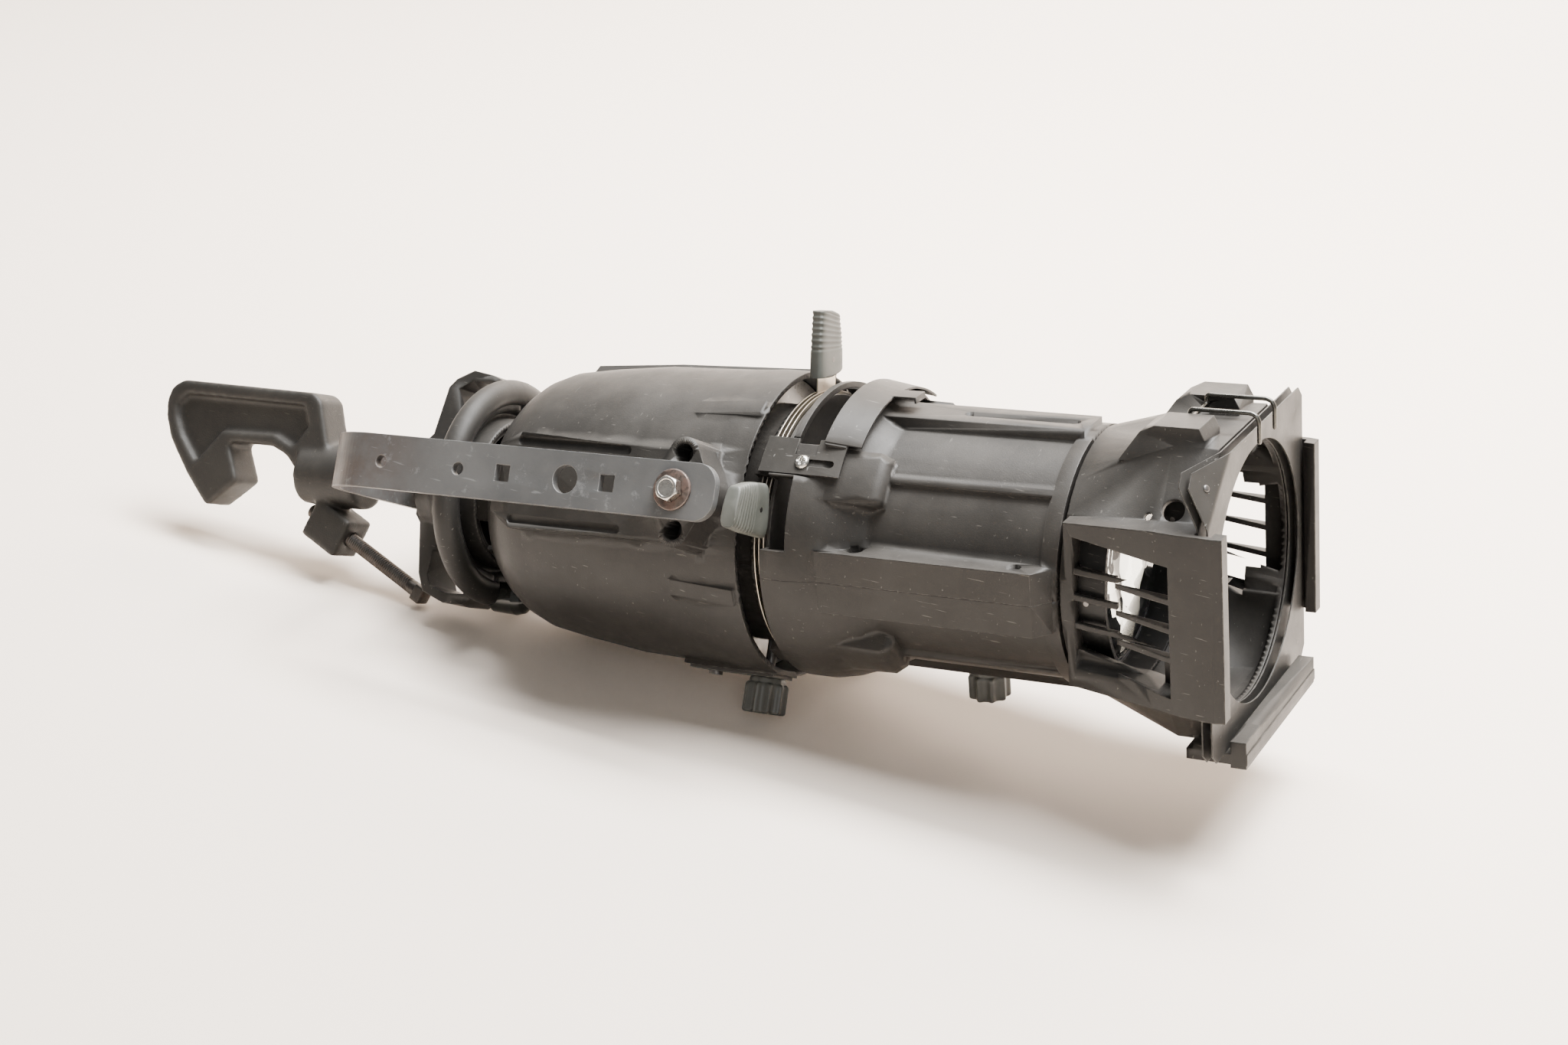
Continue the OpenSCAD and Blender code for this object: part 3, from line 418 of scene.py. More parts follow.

# %% [markdown]
# ### Paint on the yoke
# The yoke is bent from flat bar after rolling, so its grey paint is thin and even, with pale
# scuffs where bolts and clamps have turned against it. The two bends are painted darker and
# browner, and that band is placed by distance along the optical axis.

# %% Yoke paint
def yoke_paint():
    """Blue-grey thin paint; darker and browner from 150 to 235 mm behind the pivot, scuffs everywhere.
    """
    material, tree, shader = new_material("yoke_paint")
    here = object_space(tree)
    broad = remap(tree, noise(tree, here, 16, 5, 0.6), 0.36, 0.66)
    colour = blend_colour(tree, broad, (0.078, 0.079, 0.079), (0.112, 0.112, 0.110))
    reach = along(tree, here, OPTICAL)
    centre = float(PIVOT @ OPTICAL)
    bend = remap(tree, reach, centre - 0.150, centre - 0.235)
    bend = math_node(tree, "MULTIPLY", bend, remap(tree, noise(tree, here, 22, 5, 0.7), 0.38, 0.62))
    colour = blend_colour(tree, math_node(tree, "MULTIPLY", bend, 0.85), colour, (0.062, 0.040, 0.031))
    rubbed = remap(tree, noise(tree, here, 75, 6, 0.75), 0.585, 0.67)
    lines = scratches(tree, 55, (1.0, 9.0, 9.0), 0.69, 0.75)
    marks = math_node(tree, "MAXIMUM", rubbed, lines)
    colour = blend_colour(tree, math_node(tree, "MULTIPLY", marks, 0.35), colour, (0.26, 0.265, 0.27))
    breakup = remap(tree, noise(tree, here, 160, 4, 0.7), 0.40, 0.58)
    edges = math_node(tree, "MULTIPLY", edge_mask(tree, 0.0006), breakup)
    colour = blend_colour(tree, math_node(tree, "MULTIPLY", edges, 0.7), colour, (0.34, 0.33, 0.31))
    tree.links.new(colour, shader.inputs["Base Color"])
    shader.inputs["Metallic"].default_value = 0.25
    tree.links.new(remap(tree, noise(tree, here, 60, 4, 0.6), 0.3, 0.7, 0.34, 0.50),
                   shader.inputs["Roughness"])
    add_bump(tree, shader, noise(tree, here, 700, 3, 0.6), 0.2, 0.0002, 0.0007)
    return material


paints["yoke"] = yoke_paint()
print("yoke paint ready")

# %% [markdown]
# ### Bare metals
# Screws, blades and springs are steel: metallic, with a colour that tarnishes in patches and a
# roughness that varies. Brushed blades stretch the noise along the pull. Rust is not metallic at
# all, so it is mixed in by its own mask rather than tinted.

# %% Metals and rust
def steel(name, colour, roughness, tarnish=(0.20, 0.17, 0.13), amount=0.3, rust=0.0, radius=0.0003,
          stretch=(1, 1, 1)):
    """Metal with tarnished patches and, where asked, rust that kills its shine."""
    material, tree, shader = new_material(name)
    here = object_space(tree)
    patches = remap(tree, noise(tree, here, 90, 5, 0.65), 0.42, 0.66)
    base = blend_colour(tree, math_node(tree, "MULTIPLY", patches, amount), colour, tarnish)
    red = remap(tree, noise(tree, here, 170, 6, 0.72), 0.62 - 0.32 * rust, 0.74 - 0.32 * rust)
    deep = blend_colour(tree, noise(tree, here, 420, 4, 0.7), (0.035, 0.019, 0.014),
                        (0.14, 0.085, 0.065))
    red = math_node(tree, "MULTIPLY", red, min(1.0, 2.0 * rust))
    tree.links.new(blend_colour(tree, red, base, deep), shader.inputs["Base Color"])
    tree.links.new(math_node(tree, "SUBTRACT", 1.0, math_node(tree, "MULTIPLY", red, 0.85)),
                   shader.inputs["Metallic"])
    fine = noise(tree, object_space(tree, stretch), 500, 3, 0.6)
    rough = remap(tree, fine, 0.3, 0.7, roughness - 0.06, roughness + 0.10)
    tree.links.new(math_node(tree, "ADD", rough, math_node(tree, "MULTIPLY", red, 0.35)),
                   shader.inputs["Roughness"])
    add_bump(tree, shader, fine, 0.12 + 0.5 * rust, 0.00015, radius)
    return material


metals = {
    "stainless": steel("blade_stainless", (0.58, 0.53, 0.46), 0.34, (0.30, 0.24, 0.17), 0.5,
                       stretch=(1, 8, 1)),
    "spring_steel": steel("spring_steel", (0.45, 0.45, 0.45), 0.30),
    "plated": steel("plated_steel", (0.42, 0.42, 0.42), 0.32),
    "screws": steel("dark_screws", (0.16, 0.155, 0.15), 0.38, (0.08, 0.07, 0.06), 0.6, 0.1),
    "bright_screws": steel("bright_screws", (0.62, 0.60, 0.56), 0.24, (0.30, 0.28, 0.24), 0.45),
    "bolt": steel("bolt_steel", (0.60, 0.585, 0.55), 0.28, (0.32, 0.29, 0.25), 0.5, 0.12),
    "rusty": steel("washer_rust", (0.16, 0.135, 0.12), 0.42, (0.09, 0.06, 0.05), 0.7, 0.45),
    "clamp_bolt": steel("clamp_bolt_steel", (0.075, 0.070, 0.065), 0.42, (0.05, 0.042, 0.036),
                        0.7, 0.22),
    "wire": steel("clip_wire", (0.12, 0.118, 0.108), 0.27, (0.07, 0.066, 0.058), 0.5),
    "lamp_metal": steel("lamp_metal", (0.62, 0.62, 0.63), 0.36),
    "mirror": steel("reflector_mirror", (0.90, 0.90, 0.91), 0.09, (0.75, 0.74, 0.72), 0.2),
}
print(len(metals), "metals ready")

# %% [markdown]
# ### Plastics, ceramic and glass
# The grips and knobs are moulded in a greenish charcoal. Their crests are painted pale, partly as
# wear and partly as a painted highlight, and what faces up is painted paler, partly dust and partly
# painted top light. The cable gland is glossy. Lenses are clear with the faint green that thick glass
# has.

# %% Plastics and glass
def plastic(name, dark, light, roughness, worn_and_glint_colour=(0.20, 0.21, 0.19), wear_and_glint=0.55, radius=0.0006, dust_and_toplight=0.25):
    """Moulded plastic: two tones, pale crests that are wear and painted highlight, a pale film on what
    faces up that is dust and painted top light.
    """
    material, tree, shader = new_material(name)
    here = object_space(tree)
    colour = blend_colour(tree, remap(tree, noise(tree, here, 40, 5, 0.6), 0.36, 0.66), dark, light)
    # Upward faces are painted paler: partly dust, partly painted light from above.
    top = math_node(tree, "MULTIPLY", facing(tree, UPWARD, 0.0, 0.95), dust_and_toplight)
    colour = blend_colour(tree, top, colour, (0.16, 0.158, 0.14))
    breakup = remap(tree, noise(tree, here, 230, 4, 0.7), 0.40, 0.62)
    # Crests are painted pale: partly wear, partly a painted highlight.
    edges = math_node(tree, "MULTIPLY", edge_mask(tree, radius), breakup)
    colour = blend_colour(tree, math_node(tree, "MULTIPLY", edges, wear_and_glint), colour, worn_and_glint_colour)
    tree.links.new(colour, shader.inputs["Base Color"])
    tree.links.new(remap(tree, noise(tree, here, 160, 4, 0.6), 0.3, 0.7, roughness - 0.06,
                         roughness + 0.08),
                   shader.inputs["Roughness"])
    add_bump(tree, shader, noise(tree, here, 800, 3, 0.6), 0.15, 0.0002, radius)
    return material


def glass(name, colour, roughness=0.0):
    """Clear glass with a faint tint."""
    material, tree, shader = new_material(name)
    here = object_space(tree)
    tint = blend_colour(tree, noise(tree, here, 12, 3, 0.5), colour, tuple(0.985 * c for c in colour))
    tree.links.new(tint, shader.inputs["Base Color"])
    shader.inputs["Transmission Weight"].default_value = 1.0
    shader.inputs["Roughness"].default_value = roughness
    shader.inputs["IOR"].default_value = 1.5
    return material


others = {
    # The pale crest colour of the grips and knobs is partly a painted highlight.
    "grip": plastic("grip_plastic", (0.045, 0.048, 0.041), (0.075, 0.078, 0.069), 0.46,
                    (0.34, 0.34, 0.31), 0.8),
    "knob": plastic("knob_plastic", (0.022, 0.024, 0.021), (0.036, 0.038, 0.034), 0.38,
                    (0.26, 0.27, 0.25), 0.7),
    "gland": plastic("gland_plastic", (0.008, 0.009, 0.008), (0.014, 0.015, 0.013), 0.16,
                     wear_and_glint=0.1, dust_and_toplight=0.05),
    "fibre": plastic("fibre_disc", (0.020, 0.020, 0.019), (0.035, 0.034, 0.033), 0.7, wear_and_glint=0.1),
    "ceramic": plastic("socket_ceramic", (0.66, 0.64, 0.59), (0.76, 0.74, 0.69), 0.25, wear_and_glint=0.0,
                       dust_and_toplight=0.0),
    "lamp_glass": glass("lamp_glass", (0.96, 0.97, 0.97)),
    "lens": glass("lens_glass", (0.93, 0.985, 0.955)),
}
slot_of = {s["node"]: s["material_slot"] for s in frame["record"]["subparts"]}
finish = {**paints, **metals, **others}
for name, part in nodes.items():
    part.data.materials.clear()
    part.data.materials.append(finish[slot_of[name]])
print(len(finish), "finishes on", len(nodes), "pieces")

# %% [markdown]
# ## Skins of the castings
# The construction pieces arrive as loose triangles. A copy of each is merged into one closed
# skin whose shading runs smoothly over curved fields and breaks at true edges; normals are
# weighted by face area, so that a big flat field stays flat right up to its rounded rim. A
# geometric bevel would round the outline too, but on castings this busy it folds over itself at
# the many small facets, so the roll of those edges is left to the finish.

# %% Skins
def body_of(node):
    """The body that a construction node rides on."""
    return nodes[node]["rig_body"]


def dress(piece, body, material, stands_for=()):
    """Puts a piece in the scene on its body, with its finish, and hides the nodes it stands for."""
    piece.data.materials.clear()
    piece.data.materials.append(material)
    bpy.context.scene.collection.objects.link(piece)
    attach(piece, body)
    if stands_for:
        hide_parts(*stands_for)
    return piece


MERGE_AT = 2e-6
EDGE_ANGLE = 32.0


def merged(name, parts, near=MERGE_AT):
    """One mesh from the triangles of some nodes, points closer than `near` metres made one."""
    bm = bmesh.new()
    for node in parts:
        bm.from_mesh(nodes[node].data)
    bmesh.ops.remove_doubles(bm, verts=bm.verts, dist=near)
    mesh = bpy.data.meshes.new(name)
    bm.to_mesh(mesh)
    bm.free()
    return mesh


def shade(mesh, angle):
    """Smooth shading everywhere except across edges sharper than the angle, in degrees."""
    mesh.polygons.foreach_set("use_smooth", [True] * len(mesh.polygons))
    mesh.set_sharp_from_angle(angle=math.radians(angle))


def even_skin(name, mesh, parts):
    """A piece that stands for some nodes of one body, with normals weighted by face area."""
    shade(mesh, EDGE_ANGLE)
    piece = bpy.data.objects.new(name, mesh)
    even = piece.modifiers.new("even normals", "WEIGHTED_NORMAL")
    even.keep_sharp = True
    first = parts[0]
    dress(piece, body_of(first), finish[slot_of[first]], parts)
    print(f"{name}: {len(mesh.polygons)} faces")
    return piece


CASTINGS = ("reflector_housing", "barrel_upper", "barrel_lower", "rear_cap",
            "slot_cover", "lock_bracket", "lens_tube")
for casting in CASTINGS:
    even_skin(casting + "_skin", merged(casting + "_skin", (casting,)), (casting,))

# %% [markdown]
# ### The bent bar
# The yoke is one flat bar, but its construction is split where the bends begin. Its skin joins
# the three nodes again: points that meet are merged, and the two faces that then lie back to
# back inside the bar are taken out, so that light runs unbroken from arm to bend.

# %% Yoke
SEAM_MERGE = 1e-5


def along_axis(mesh):
    """Each corner's distance from the pivot along the optical axis, in metres."""
    co = np.zeros(len(mesh.vertices) * 3)
    mesh.vertices.foreach_get("co", co)
    return (co.reshape(-1, 3) - PIVOT) @ OPTICAL


def joined_skin(name, parts):
    """One smooth skin from several nodes of a body. The last part's rear end face lies in the
    seam plane; a triangle whose three corners lie in that plane is inside the bar."""
    seam = along_axis(nodes[parts[-1]].data).min()
    mesh = merged(name, parts, SEAM_MERGE)
    in_plane = np.abs(along_axis(mesh) - seam) < 2 * SEAM_MERGE
    corner = np.zeros(len(mesh.polygons) * 3, int)
    mesh.polygons.foreach_get("vertices", corner)
    inner = np.flatnonzero(in_plane[corner.reshape(-1, 3)].all(1))
    bm = bmesh.new()
    bm.from_mesh(mesh)
    bm.faces.ensure_lookup_table()
    bmesh.ops.delete(bm, geom=[bm.faces[i] for i in inner], context="FACES")
    bm.to_mesh(mesh)
    bm.free()
    print(f"{name}: {len(inner)} inner faces taken out")
    return even_skin(name, mesh, parts)


joined_skin("yoke_bar", ("yoke_strap", "yoke_near_arm", "yoke_far_arm"))

# %% [markdown]
# ### The front holder
# The two sides of the holder are open between ribs that run forward to a solid bar, and the
# bottom claw leaves the lower near corner of the colour frame free. The construction's openings
# stop short of the bar, so the skin is cut again along the same tapering slots, carried forward
# to the bar. Each cutter is a prism over a quadrilateral, and one exact boolean takes them all
# out at once; the result is kept and the cutters are thrown away. Their edges are estimates and
# don't follow the construction's ribs, so they cut through some of them.

# %% Holder
def prism(outline, low, high):
    """Eight corners and six faces of a prism over four (x, z) points between two values of y."""
    points = [(x, y, z) for y in (low, high) for x, z in outline]
    faces = [(0, 1, 2, 3), (7, 6, 5, 4)] + [(i, i + 4, (i + 1) % 4 + 4, (i + 1) % 4) for i in range(4)]
    return points, faces


def cutter_mesh(prisms, axes):
    """All prisms in one mesh, in the room, with every face turned outwards."""
    points, faces = [], []
    for corners, sides in prisms:
        faces += [tuple(i + len(points) for i in side) for side in sides]
        points += corners
    bm = bmesh.new()
    mesh = bpy.data.meshes.new("cutter")
    mesh.from_pydata(place(points, axes).tolist(), [], faces)
    bm.from_mesh(mesh)
    bmesh.ops.recalc_face_normals(bm, faces=bm.faces)
    bm.to_mesh(mesh)
    bm.free()
    return mesh


def carved(mesh, cutter):
    """A mesh less a cutter: the boolean is evaluated once and its helpers are removed."""
    block = bpy.data.objects.new("block", mesh)
    tool = bpy.data.objects.new("tool", cutter)
    for helper in (block, tool):
        bpy.context.scene.collection.objects.link(helper)
    cut = block.modifiers.new("cut", "BOOLEAN")
    cut.operation, cut.solver, cut.object = "DIFFERENCE", "EXACT", tool
    shown = block.evaluated_get(bpy.context.evaluated_depsgraph_get())
    result = bpy.data.meshes.new_from_object(shown)
    for helper in (block, tool):
        bpy.data.objects.remove(helper)
    return result


X_REAR, X_DRAWN, X_FRONT = 217.0, 264.0, 272.5
SIDE_SLOTS = ((19, 37, 13.5, 31), (5, 16, -2, 10.5), (-11, 2, -18, -5), (-27, -14, -40, -21))
SIDES = ((-92.0, -66.5), (66.5, 92.0))
CLAW = [(286.7, -89.0), (286.7, -71.0), (308.0, -71.0), (308.0, -89.0)]
SEAT = [(270.0, -88.0), (270.0, -80.2), (286.8, -80.2), (286.8, -88.0)]


def side_slot(z_low, z_high, z_low_front, z_high_front):
    """A tapering side opening: its edges are straight lines carried on from X_DRAWN to X_FRONT."""
    carry = (X_FRONT - X_REAR) / (X_DRAWN - X_REAR)
    return [(X_REAR, z_low), (X_REAR, z_high), (X_FRONT, z_high + (z_high_front - z_high) * carry),
            (X_FRONT, z_low + (z_low_front - z_low) * carry)]


def make_holder():
    """Side slots on both sides, and the claw cut short below the near corner of the frame."""
    prisms = [prism(side_slot(*edges), *side) for edges in SIDE_SLOTS for side in SIDES]
    prisms += [prism(CLAW, -62.0, -36.0), prism(SEAT, -62.0, -47.5)]
    name = "front_holder_skin"
    result = carved(merged(name, ("front_holder",)), cutter_mesh(prisms, BARREL))
    result.name = name
    print(f"{name}: {len(prisms)} cuts")
    return even_skin(name, result, ("front_holder",))


make_holder()

# %% [markdown]
# ### The sand-cast hook
# The clamp is sand-cast iron and has no sharp edge at all. Its skin is filled with small even
# cells and then relaxed: each pass moves a point halfway to the mean of its neighbours, which
# eats corners first and leaves flats alone. After n passes the roll is about sqrt(n/2) cells
# wide, so forty passes of 1.1 mm cells give a radius near 5 mm. A bevel would need clean edges,
# and here a boss, a web and two bores run into each other.

# %% Hook
def cast_skin(node, cell, passes, settle=0.5):
    """Even cells over the node's skin, relaxed until its edges are round."""
    piece = bpy.data.objects.new(node + "_cast", merged(node + "_cast", (node,)))
    cells = piece.modifiers.new("even cells", "REMESH")
    cells.mode, cells.voxel_size, cells.use_smooth_shade = "VOXEL", cell, True
    relax = piece.modifiers.new("relaxed edges", "SMOOTH")
    relax.factor, relax.iterations = settle, passes
    dress(piece, body_of(node), finish[slot_of[node]], (node,))
    shown = piece.evaluated_get(bpy.context.evaluated_depsgraph_get())
    print(f"{piece.name}: {len(shown.data.polygons)} cells after the relaxing")
    return piece


cast_skin("clamp_hook", 0.0011, 40)

# %% [markdown]
# ## Surfaces from arrays
# The smaller parts are modelled afresh. Each is a grid of points worked out in one go: a profile
# turned about an axis, a section carried along a path, or a height over a disc. Grids whose rows
# shrink to a point are merged there, and all faces are made to point outwards. Subdividing a few
# hand-placed faces would look similar, but the sizes here come straight from the construction.

# %% Helpers for arrays
def span(node, axes):
    """Lowest and highest corner of a construction piece in a working frame, in mm."""
    mesh = nodes[node].data
    co = np.zeros(len(mesh.vertices) * 3)
    mesh.vertices.foreach_get("co", co)
    local = (co.reshape(-1, 3) - PIVOT) @ axes.T / MM
    return local.min(0), local.max(0)


def solids(node, axes):
    """The separate solids of a construction node, as their lowest and highest corners in a working
    frame, in mm. Every point starts with its own number and takes the least number at the other
    end of its edges, again and again, until each solid bears one number."""
    mesh = merged("solids", (node,))
    co = np.zeros(len(mesh.vertices) * 3)
    mesh.vertices.foreach_get("co", co)
    local = (co.reshape(-1, 3) - PIVOT) @ axes.T / MM
    ends = np.zeros(len(mesh.edges) * 2, int)
    mesh.edges.foreach_get("vertices", ends)
    ends = ends.reshape(-1, 2)
    bpy.data.meshes.remove(mesh)
    label, before = np.arange(len(local)), None
    while before is None or (label != before).any():
        before = label.copy()
        least = np.minimum(label[ends[:, 0]], label[ends[:, 1]])
        np.minimum.at(label, ends[:, 0], least)
        np.minimum.at(label, ends[:, 1], least)
    found = [(local[label == n].min(0), local[label == n].max(0)) for n in np.unique(label)]
    return sorted(found, key=lambda pair: tuple(pair[0].round(1)))


def skin(name, grids, body, material, stands_for=(), smooth_angle=35.0):
    """One piece from a list of (points, closed_u, closed_v) grids in room metres: merged where
    rows meet, normals outwards, smooth except across edges sharper than the angle."""
    bm = bmesh.new()
    for points, closed_u, closed_v in grids:
        part = grid_mesh(name, points, closed_u, closed_v)
        bm.from_mesh(part)
        bpy.data.meshes.remove(part)
    bmesh.ops.remove_doubles(bm, verts=bm.verts, dist=1e-6)
    bmesh.ops.dissolve_degenerate(bm, dist=1e-7, edges=bm.edges)
    bmesh.ops.recalc_face_normals(bm, faces=bm.faces)
    mesh = bpy.data.meshes.new(name)
    bm.to_mesh(mesh)
    bm.free()
    shade(mesh, smooth_angle)
    piece = dress(bpy.data.objects.new(name, mesh), body, material, stands_for)
    print(f"{name}: {len(mesh.polygons)} faces")
    return piece


def turn(profile, segments=64, wave=None):
    """Points of a profile of (height, radius) turned about local Z. wave(angle, height share)
    scales the radius, which makes flutes and hexagons."""
    profile = np.asarray(profile, float)
    angle = np.arange(segments) * 2 * math.pi / segments
    radius = np.repeat(profile[:, 1:2], segments, 1)
    if wave is not None:
        share = np.linspace(0, 1, len(profile))
        radius = radius * wave(angle[None, :], share[:, None])
    points = np.zeros((len(profile), segments, 3))
    points[..., 0] = radius * np.cos(angle)
    points[..., 1] = radius * np.sin(angle)
    points[..., 2] = profile[:, 0:1]
    return points


def stand(points, base, heading, across):
    """Carries local points so that local Z runs along a heading and local X across it."""
    heading, across = unit(heading), unit(across)
    return np.asarray(base) + points @ np.array([across, np.cross(heading, across), heading])


def smooth_path(corners, radius, steps=9):
    """A path of straight runs whose corners are rounded: each corner gives way to points of a
    quadratic curve that leaves and meets the runs at the radius, one for all or one for each."""
    corners = np.asarray(corners, float)
    path = [corners[:1]]
    t = np.linspace(0, 1, steps)[:, None]
    radii = np.broadcast_to(radius, len(corners) - 2)
    for before, corner, after, r in zip(corners[:-2], corners[1:-1], corners[2:], radii):
        a = corner + unit(before - corner) * r
        b = corner + unit(after - corner) * r
        path.append((1 - t) ** 2 * a + 2 * t * (1 - t) * corner + t ** 2 * b)
    path.append(corners[-1:])
    return np.concatenate(path)


def wire(path, radius, sides=18):
    """A round wire along a path: at each point a circle square to the path, its first spoke
    carried along without twist; the ends shrink to a dome inside the last point."""
    path = np.asarray(path, float)
    heading = np.gradient(path, axis=0)
    heading /= np.linalg.norm(heading, axis=1)[:, None]
    spoke = np.zeros_like(path)
    seed = np.cross(heading[0], [0.31, 0.52, 0.79])
    for i, h in enumerate(heading):
        seed = seed - h * (seed @ h)
        seed /= np.linalg.norm(seed)
        spoke[i] = seed
    other = np.cross(heading, spoke)
    angle = np.arange(sides) * 2 * math.pi / sides
    quarter = np.linspace(0, math.pi / 2, 6)

    def ring(centre, i, size):
        return centre + size * (np.cos(angle)[:, None] * spoke[i] + np.sin(angle)[:, None] * other[i])

    rows = [ring(path[0] + heading[0] * radius * (1 - math.cos(q)), 0,
                 radius * math.sin(q)) for q in quarter]
    rows += [ring(p, i + 1, radius) for i, p in enumerate(path[1:-1])]
    rows += [ring(path[-1] - heading[-1] * radius * (1 - math.cos(q)), -1, radius * math.sin(q))
             for q in quarter[::-1]]
    return np.array(rows)


print("array helpers ready")

# %% [markdown]
# ## Lock knobs
# The rotation lock and the focus lock are turned by fluted knobs. Their section is a circle
# with lobes: radius times one minus a power of a cosine, fading out towards the shoulder. The
# profile runs from the pole of one end to the pole of the other, so the knob closes by itself.

# %% Knobs
def knob(name, node, axes, lobes):
    """Profile (height, radius) with rolled ends; flutes of depth 17 % that stop at the skirt."""
    low, high = span(node, axes)
    centre = (low + high) / 2
    tall = high[2] - low[2]
    wide = (high[0] - low[0]) / 2
    roll = 1.6
    arc = np.linspace(0, math.pi / 2, 6)
    foot = [(0, 0), (0, wide * 0.5), (0, wide - roll)]
    foot += [(roll - roll * math.cos(a), wide - roll + roll * math.sin(a)) for a in arc]
    body = [(roll + (tall - 2 * roll - 3.5) * s, wide) for s in np.linspace(0.05, 1, 10)]
    neck = [(tall - 4.2, wide * 0.97), (tall - 3.4, wide * 0.90), (tall - 3.2, wide * 0.84),
            (tall - 1, wide * 0.82), (tall - 0.3, wide * 0.78), (tall, wide * 0.72),
            (tall, 3.2), (tall, 0)]
    profile = np.array(foot + body + neck)

    def flutes(angle, share):
        """1 on the lobes and less between them; the valleys are rounder than the crests."""
        valley = (0.5 - 0.5 * np.cos(lobes * angle)) ** 1.6
        depth = 0.17 * np.clip((0.86 - share) / 0.12, 0, 1) * np.clip(share / 0.1, 0, 1)
        return 1 - depth * (1 - valley)

    points = turn(profile, lobes * 14, flutes)
    points = stand(points, (centre[0], centre[1], low[2]), (0, 0, 1), (1, 0, 0))
    return skin(name, [(place(points, axes), False, True)], body_of(node), finish["knob"],
                (node,))


knob("rotation_knob_fluted", "rotation_knob", HOUSING, 10)
knob("focus_knob_fluted", "focus_knob", BARREL, 9)

# %% [markdown]
# ## Shutter grips
# Each blade ends in a moulded grip that two halves of plastic pinch together. Seen flat it is a
# tapering paddle with a slanted top, a slanted foot and one bevelled corner; across, a pad with
# round edges. The outer half carries fine ribs against a thumb. The whole paddle is one loft:
# rows run from the foot to the top, each a superellipse |x/a|^p + |t/b|^p = 1 whose limits come
# from the outline, tilted so that the rows follow the slant of both ends.

# %% Grips
def grip_frame(blade):
    """Axes of one shutter: axial X, radial Y along its pull, tangential Z, from its joint."""
    outward = unit(joint[blade + "_shutter_slide"]["axis"])
    return np.array([OPTICAL, outward, np.cross(OPTICAL, outward)])


def grip(blade, flip):
    """flip turns the slant of the paddle to the other edge."""
    node = blade + "_grip"
    axes = grip_frame(blade)
    low, high = span(node, axes)
    axial = (low[0] + high[0]) / 2
    tang = (low[2] + high[2]) / 2
    half_wide, half_thick = (high[2] - low[2]) / 2, (high[0] - low[0]) / 2
    foot, top = low[1], high[1]
    long = top - foot
    s = np.concatenate([[0, 0, 0.004, 0.014, 0.032], np.linspace(0.06, 0.965, 150),
                        [0.985, 0.996, 1.0, 1.0]])
    size = np.concatenate([[0, 0.80, 0.90, 0.965, 0.995], np.ones(150), [0.965, 0.90, 0.80, 0]])
    near = np.interp(s, [0, 0.06, 0.55, 1.0], [-0.94, -1.0, -0.97, -0.86])
    far = np.interp(s, [0, 0.05, 0.42, 0.66, 1.0], [0.96, 1.0, 0.95, 0.88, 0.66])
    middle, width = (near + far) / 2 * half_wide, (far - near) / 2 * half_wide
    ribbed = np.clip((s - 0.40) / 0.03, 0, 1) * np.clip((0.955 - s) / 0.02, 0, 1)
    rib = 0.42 * ribbed * (0.5 - 0.5 * np.cos(2 * math.pi * s * long / 2.9)) ** 0.7
    angle = np.arange(56) * 2 * math.pi / 56
    power = 2 / 4.2
    cos, sin = np.cos(angle), np.sin(angle)
    across = np.sign(cos) * np.abs(cos) ** power
    thick = np.sign(sin) * np.abs(sin) ** power
    points = np.zeros((len(s), len(angle), 3))
    points[..., 0] = axial + thick * ((half_thick - rib) * size)[:, None]
    t = middle[:, None] + across * ((width - rib) * size)[:, None]
    slant = np.interp(s, [0, 0.25, 0.6, 1.0], [0.20, 0.10, -0.10, -0.26])[:, None]
    rise = foot + s[:, None] * long + slant * (t - middle[:, None])
    points[..., 1] = np.clip(rise, foot, top)
    points[..., 2] = tang + flip * t
    return skin(node + "_ribbed", [(place(points, axes), False, True)], body_of(node),
                finish["grip"],
                (node,), 50.0)


for blade in ("near", "top", "far", "bottom"):
    grip(blade, -1)

# %% [markdown]
# ## Colour frame
# The colour frame is two thin steel leaves riveted at their corners, and its near top corner has
# been knocked back. Each leaf is a polar grid between the round hole and the clipped square,
# back face and front face joined round both rims. Sheet steel bends without stretching, so the
# corner is rolled over a cylinder: a point at distance d past the fold goes to
# (R sin f, R (1 - cos f)) with f = d/R up to the bend angle, and straight on from there. Shearing
# the corner back would be simpler, but it would lengthen the edge.

# %% Leaves and rivets
FOLD_AT = (-41.0, 79.4)
FOLD_ALONG = unit((1.0, 0.80))
FOLD_ANGLE = math.radians(33.0)
FOLD_RADIUS = 5.0
FRAME_HOLE, FRAME_CLIP = 70.6, 6.0


def fold(points):
    """Rolls points (x, y, z) of a flat leaf over the fold, x being the way out of the leaf."""
    normal = np.array([-FOLD_ALONG[1], FOLD_ALONG[0]])
    past = (points[..., 1:] - FOLD_AT) @ normal
    past = np.where(past > 0, past, 0.0)
    angle = np.minimum(past / FOLD_RADIUS, FOLD_ANGLE)
    beyond = np.maximum(past - FOLD_RADIUS * FOLD_ANGLE, 0.0)
    lift = points[..., 0]
    forward = (FOLD_RADIUS + lift) * np.sin(angle) + beyond * np.cos(angle)
    back = -(FOLD_RADIUS) * (1 - np.cos(angle)) - beyond * np.sin(angle) + lift * (np.cos(angle))
    moved = points.copy()
    moved[..., 0] = back
    moved[..., 1:] += (forward - past)[..., None] * normal
    return moved


def outline_reach(angle, half, clip):
    """Distance to a square of half side `half` whose corners are clipped at 45 degrees."""
    cos, sin = np.abs(np.cos(angle)), np.abs(np.sin(angle))
    return np.minimum(half / np.maximum(cos, sin), (2 * half - clip) / (cos + sin))


